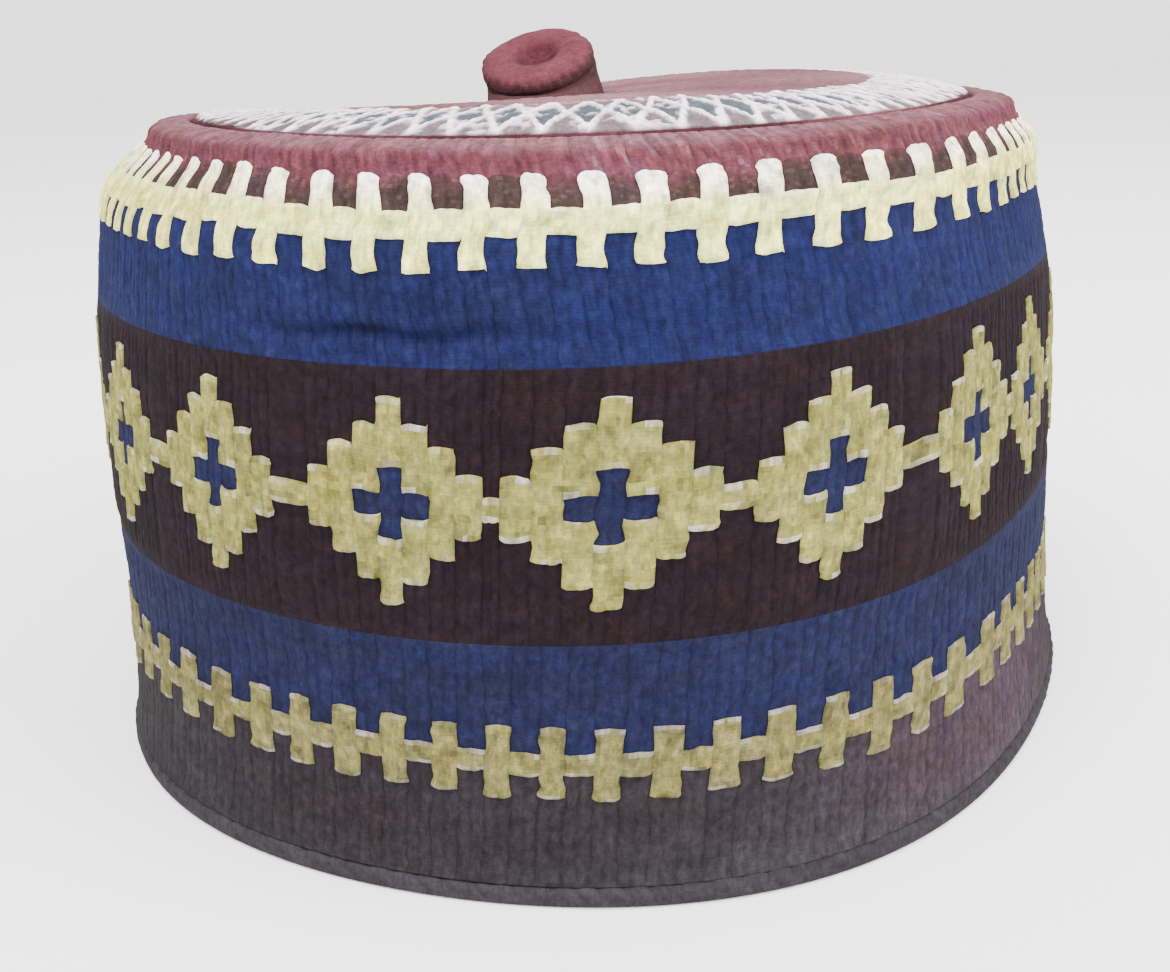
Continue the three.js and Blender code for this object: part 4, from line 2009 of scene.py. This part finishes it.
@dataclass
class Cap:
    """The whole cap, as its three bands, its top, its button and its hem."""

    form: CapForm
    profile: SideProfile
    middle: Array

    def lower_band(self) -> SideBand:
        """Charts the foot and the lower ladder, from the hem up, with some bars' turns.

        Returns:
            The band, ready to be built.
        """
        chart = (
            ChartRow(18.8, "mm", -0.3),
            ChartRow(22.9, "cm", -0.12),
            ChartRow(26.7, "cc", 0.12),
            ChartRow(30.8, "cn", 0.35),
            ChartRow(44.3, "nn"),
        )
        left = ((-10, -54), (-7, -37.2), (-4, -22.1), (0, -2.8))
        right = ((3, 12.5), (6, 29.3), (7, 35), (8, 42.8), (10, 53.8))
        return LowerBand(
            self.form,
            self.profile,
            "side_lower_band",
            columns=132,
            bottom=self.form.side_base,
            chart=chart,
            seed=11,
            seen=tuple((2 * bar + 0.5, turn) for bar, turn in left + right),
            slant_height=25.0,
            flared_edge=18.8,
        )

    def diamond_band(self) -> SideBand:
        """Charts the diamonds, in eight units each.

        Returns:
            The band, ready to be built.
        """
        chart = (
            ChartRow(49.8, "kkkkkkkk", -0.35),
            ChartRow(53.2, "kkkkckkk", -0.35),
            ChartRow(57.0, "kkkccckk", -0.35),
            ChartRow(59.8, "kkccccck"),
            ChartRow(60.5, "kkccncck", -0.35),
            ChartRow(63.2, "kcccnccc", -0.25),
            ChartRow(67.0, "cccnnncc", 0.25),
            ChartRow(69.9, "kcccnccc", 0.35),
            ChartRow(70.6, "kkccncck"),
            ChartRow(73.85, "kkccccck", 0.35),
            ChartRow(76.9, "kkkccckk", 0.35),
            ChartRow(80.4, "kkkkckkk", 0.4),
            ChartRow(84.3, "kkkkkkkk"),
        )
        return DiamondBand(
            self.form,
            self.profile,
            "side_diamond_band",
            columns=152,
            bottom=44.3,
            chart=chart,
            seed=12,
            row_pitch=0.85,
            seen=((-57, 7.4), (-38, 7.4), (-18.8, 7.7), (-1, 8.7), (18.5, 7.8), (40, 7.9), (57, 7)),
        )

    def upper_band(self) -> SideBand:
        """Charts the blue band, the upper ladder and the shoulder, with some bars' turns.

        Returns:
            The band, ready to be built.
        """
        chart = (
            ChartRow(97.0, "bb", -0.2),
            ChartRow(101.3, "pb", -0.12),
            ChartRow(105.0, "pp", 0.12),
            ChartRow(108.9, "pu", 0.6),
            ChartRow(self.form.seam_height, "rr"),
        )
        left = ((-10, -50), (-8, -39.5), (-5, -23.6), (-2, -10.2))
        right = ((1, 3.3), (3, 13.3), (5, 25.4), (7, 40.7), (9, 54))
        return UpperBand(
            self.form,
            self.profile,
            "side_upper_band",
            columns=148,
            bottom=84.3,
            chart=chart,
            seed=13,
            seen=tuple((2 * bar + 0.5, turn) for bar, turn in left + right),
            slant=-0.18,
            slant_height=102.7,
            flared_edge=97.0,
            slimmer=0.05,
            ends_at_lip=True,
        )

    def build(self) -> None:
        """Makes every piece and puts it in the scene."""
        stitched = ThreadFinish("embroidered_thread", rows=190.0).make()
        topping = ThreadFinish("top_thread", rows=170.0).make()
        hemmed = ThreadFinish("hem_cloth", rows=170.0).make()
        napped = ThreadFinish("button_cloth", rows=150.0, thread_shade=0.04).make()
        for part, finish, slot, node in (
            (self.lower_band(), stitched, "embroidered_cloth", "side_wall"),
            (self.diamond_band(), stitched, "embroidered_cloth", "side_wall"),
            (self.upper_band(), stitched, "embroidered_cloth", "side_wall"),
            (TopRing(self.form), topping, "top_cloth", "top_panel"),
            (TopDisc(self.form), topping, "top_cloth", "top_panel"),
            (HemBinding(self.form, self.profile), hemmed, "hem_cloth", "hem_binding"),
            (TopButton(self.form), napped, "button_cloth", "top_button"),
        ):
            place(part.name, part.build().mesh(part.name, self.middle), finish, slot, (node,))


def middle_of(form: CapForm) -> Array:
    """How far the maker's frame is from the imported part's, in x and y.

    Args:
        form: The plain form.

    Returns:
        Millimetres: the middle of the top's rim by the formulas, less the middle of its node.
    """
    turn = np.arange(RIM_POINTS) / RIM_POINTS * 2 * math.pi
    rim = form.on_crown(turn, np.full(RIM_POINTS, form.seam_radius - form.clearance / 2), 0)
    low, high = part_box("top_panel")
    packed = np.array((low + high) / 2) / METRES
    return ((rim.min(0) + rim.max(0)) / 2)[:2] - packed[:2]


def main() -> None:
    """Builds the studio and the cap."""
    logging.basicConfig(level=logging.INFO, format="%(name)s: %(message)s")
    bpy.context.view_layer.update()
    form = CapForm()
    middle = middle_of(form)
    LOG.info("the middle is %.3f, %.3f mm", middle[0], middle[1])
    Studio().build(middle)
    Cap(form, SideProfile.of(form), middle).build()


if __name__ == "__main__":
    main()
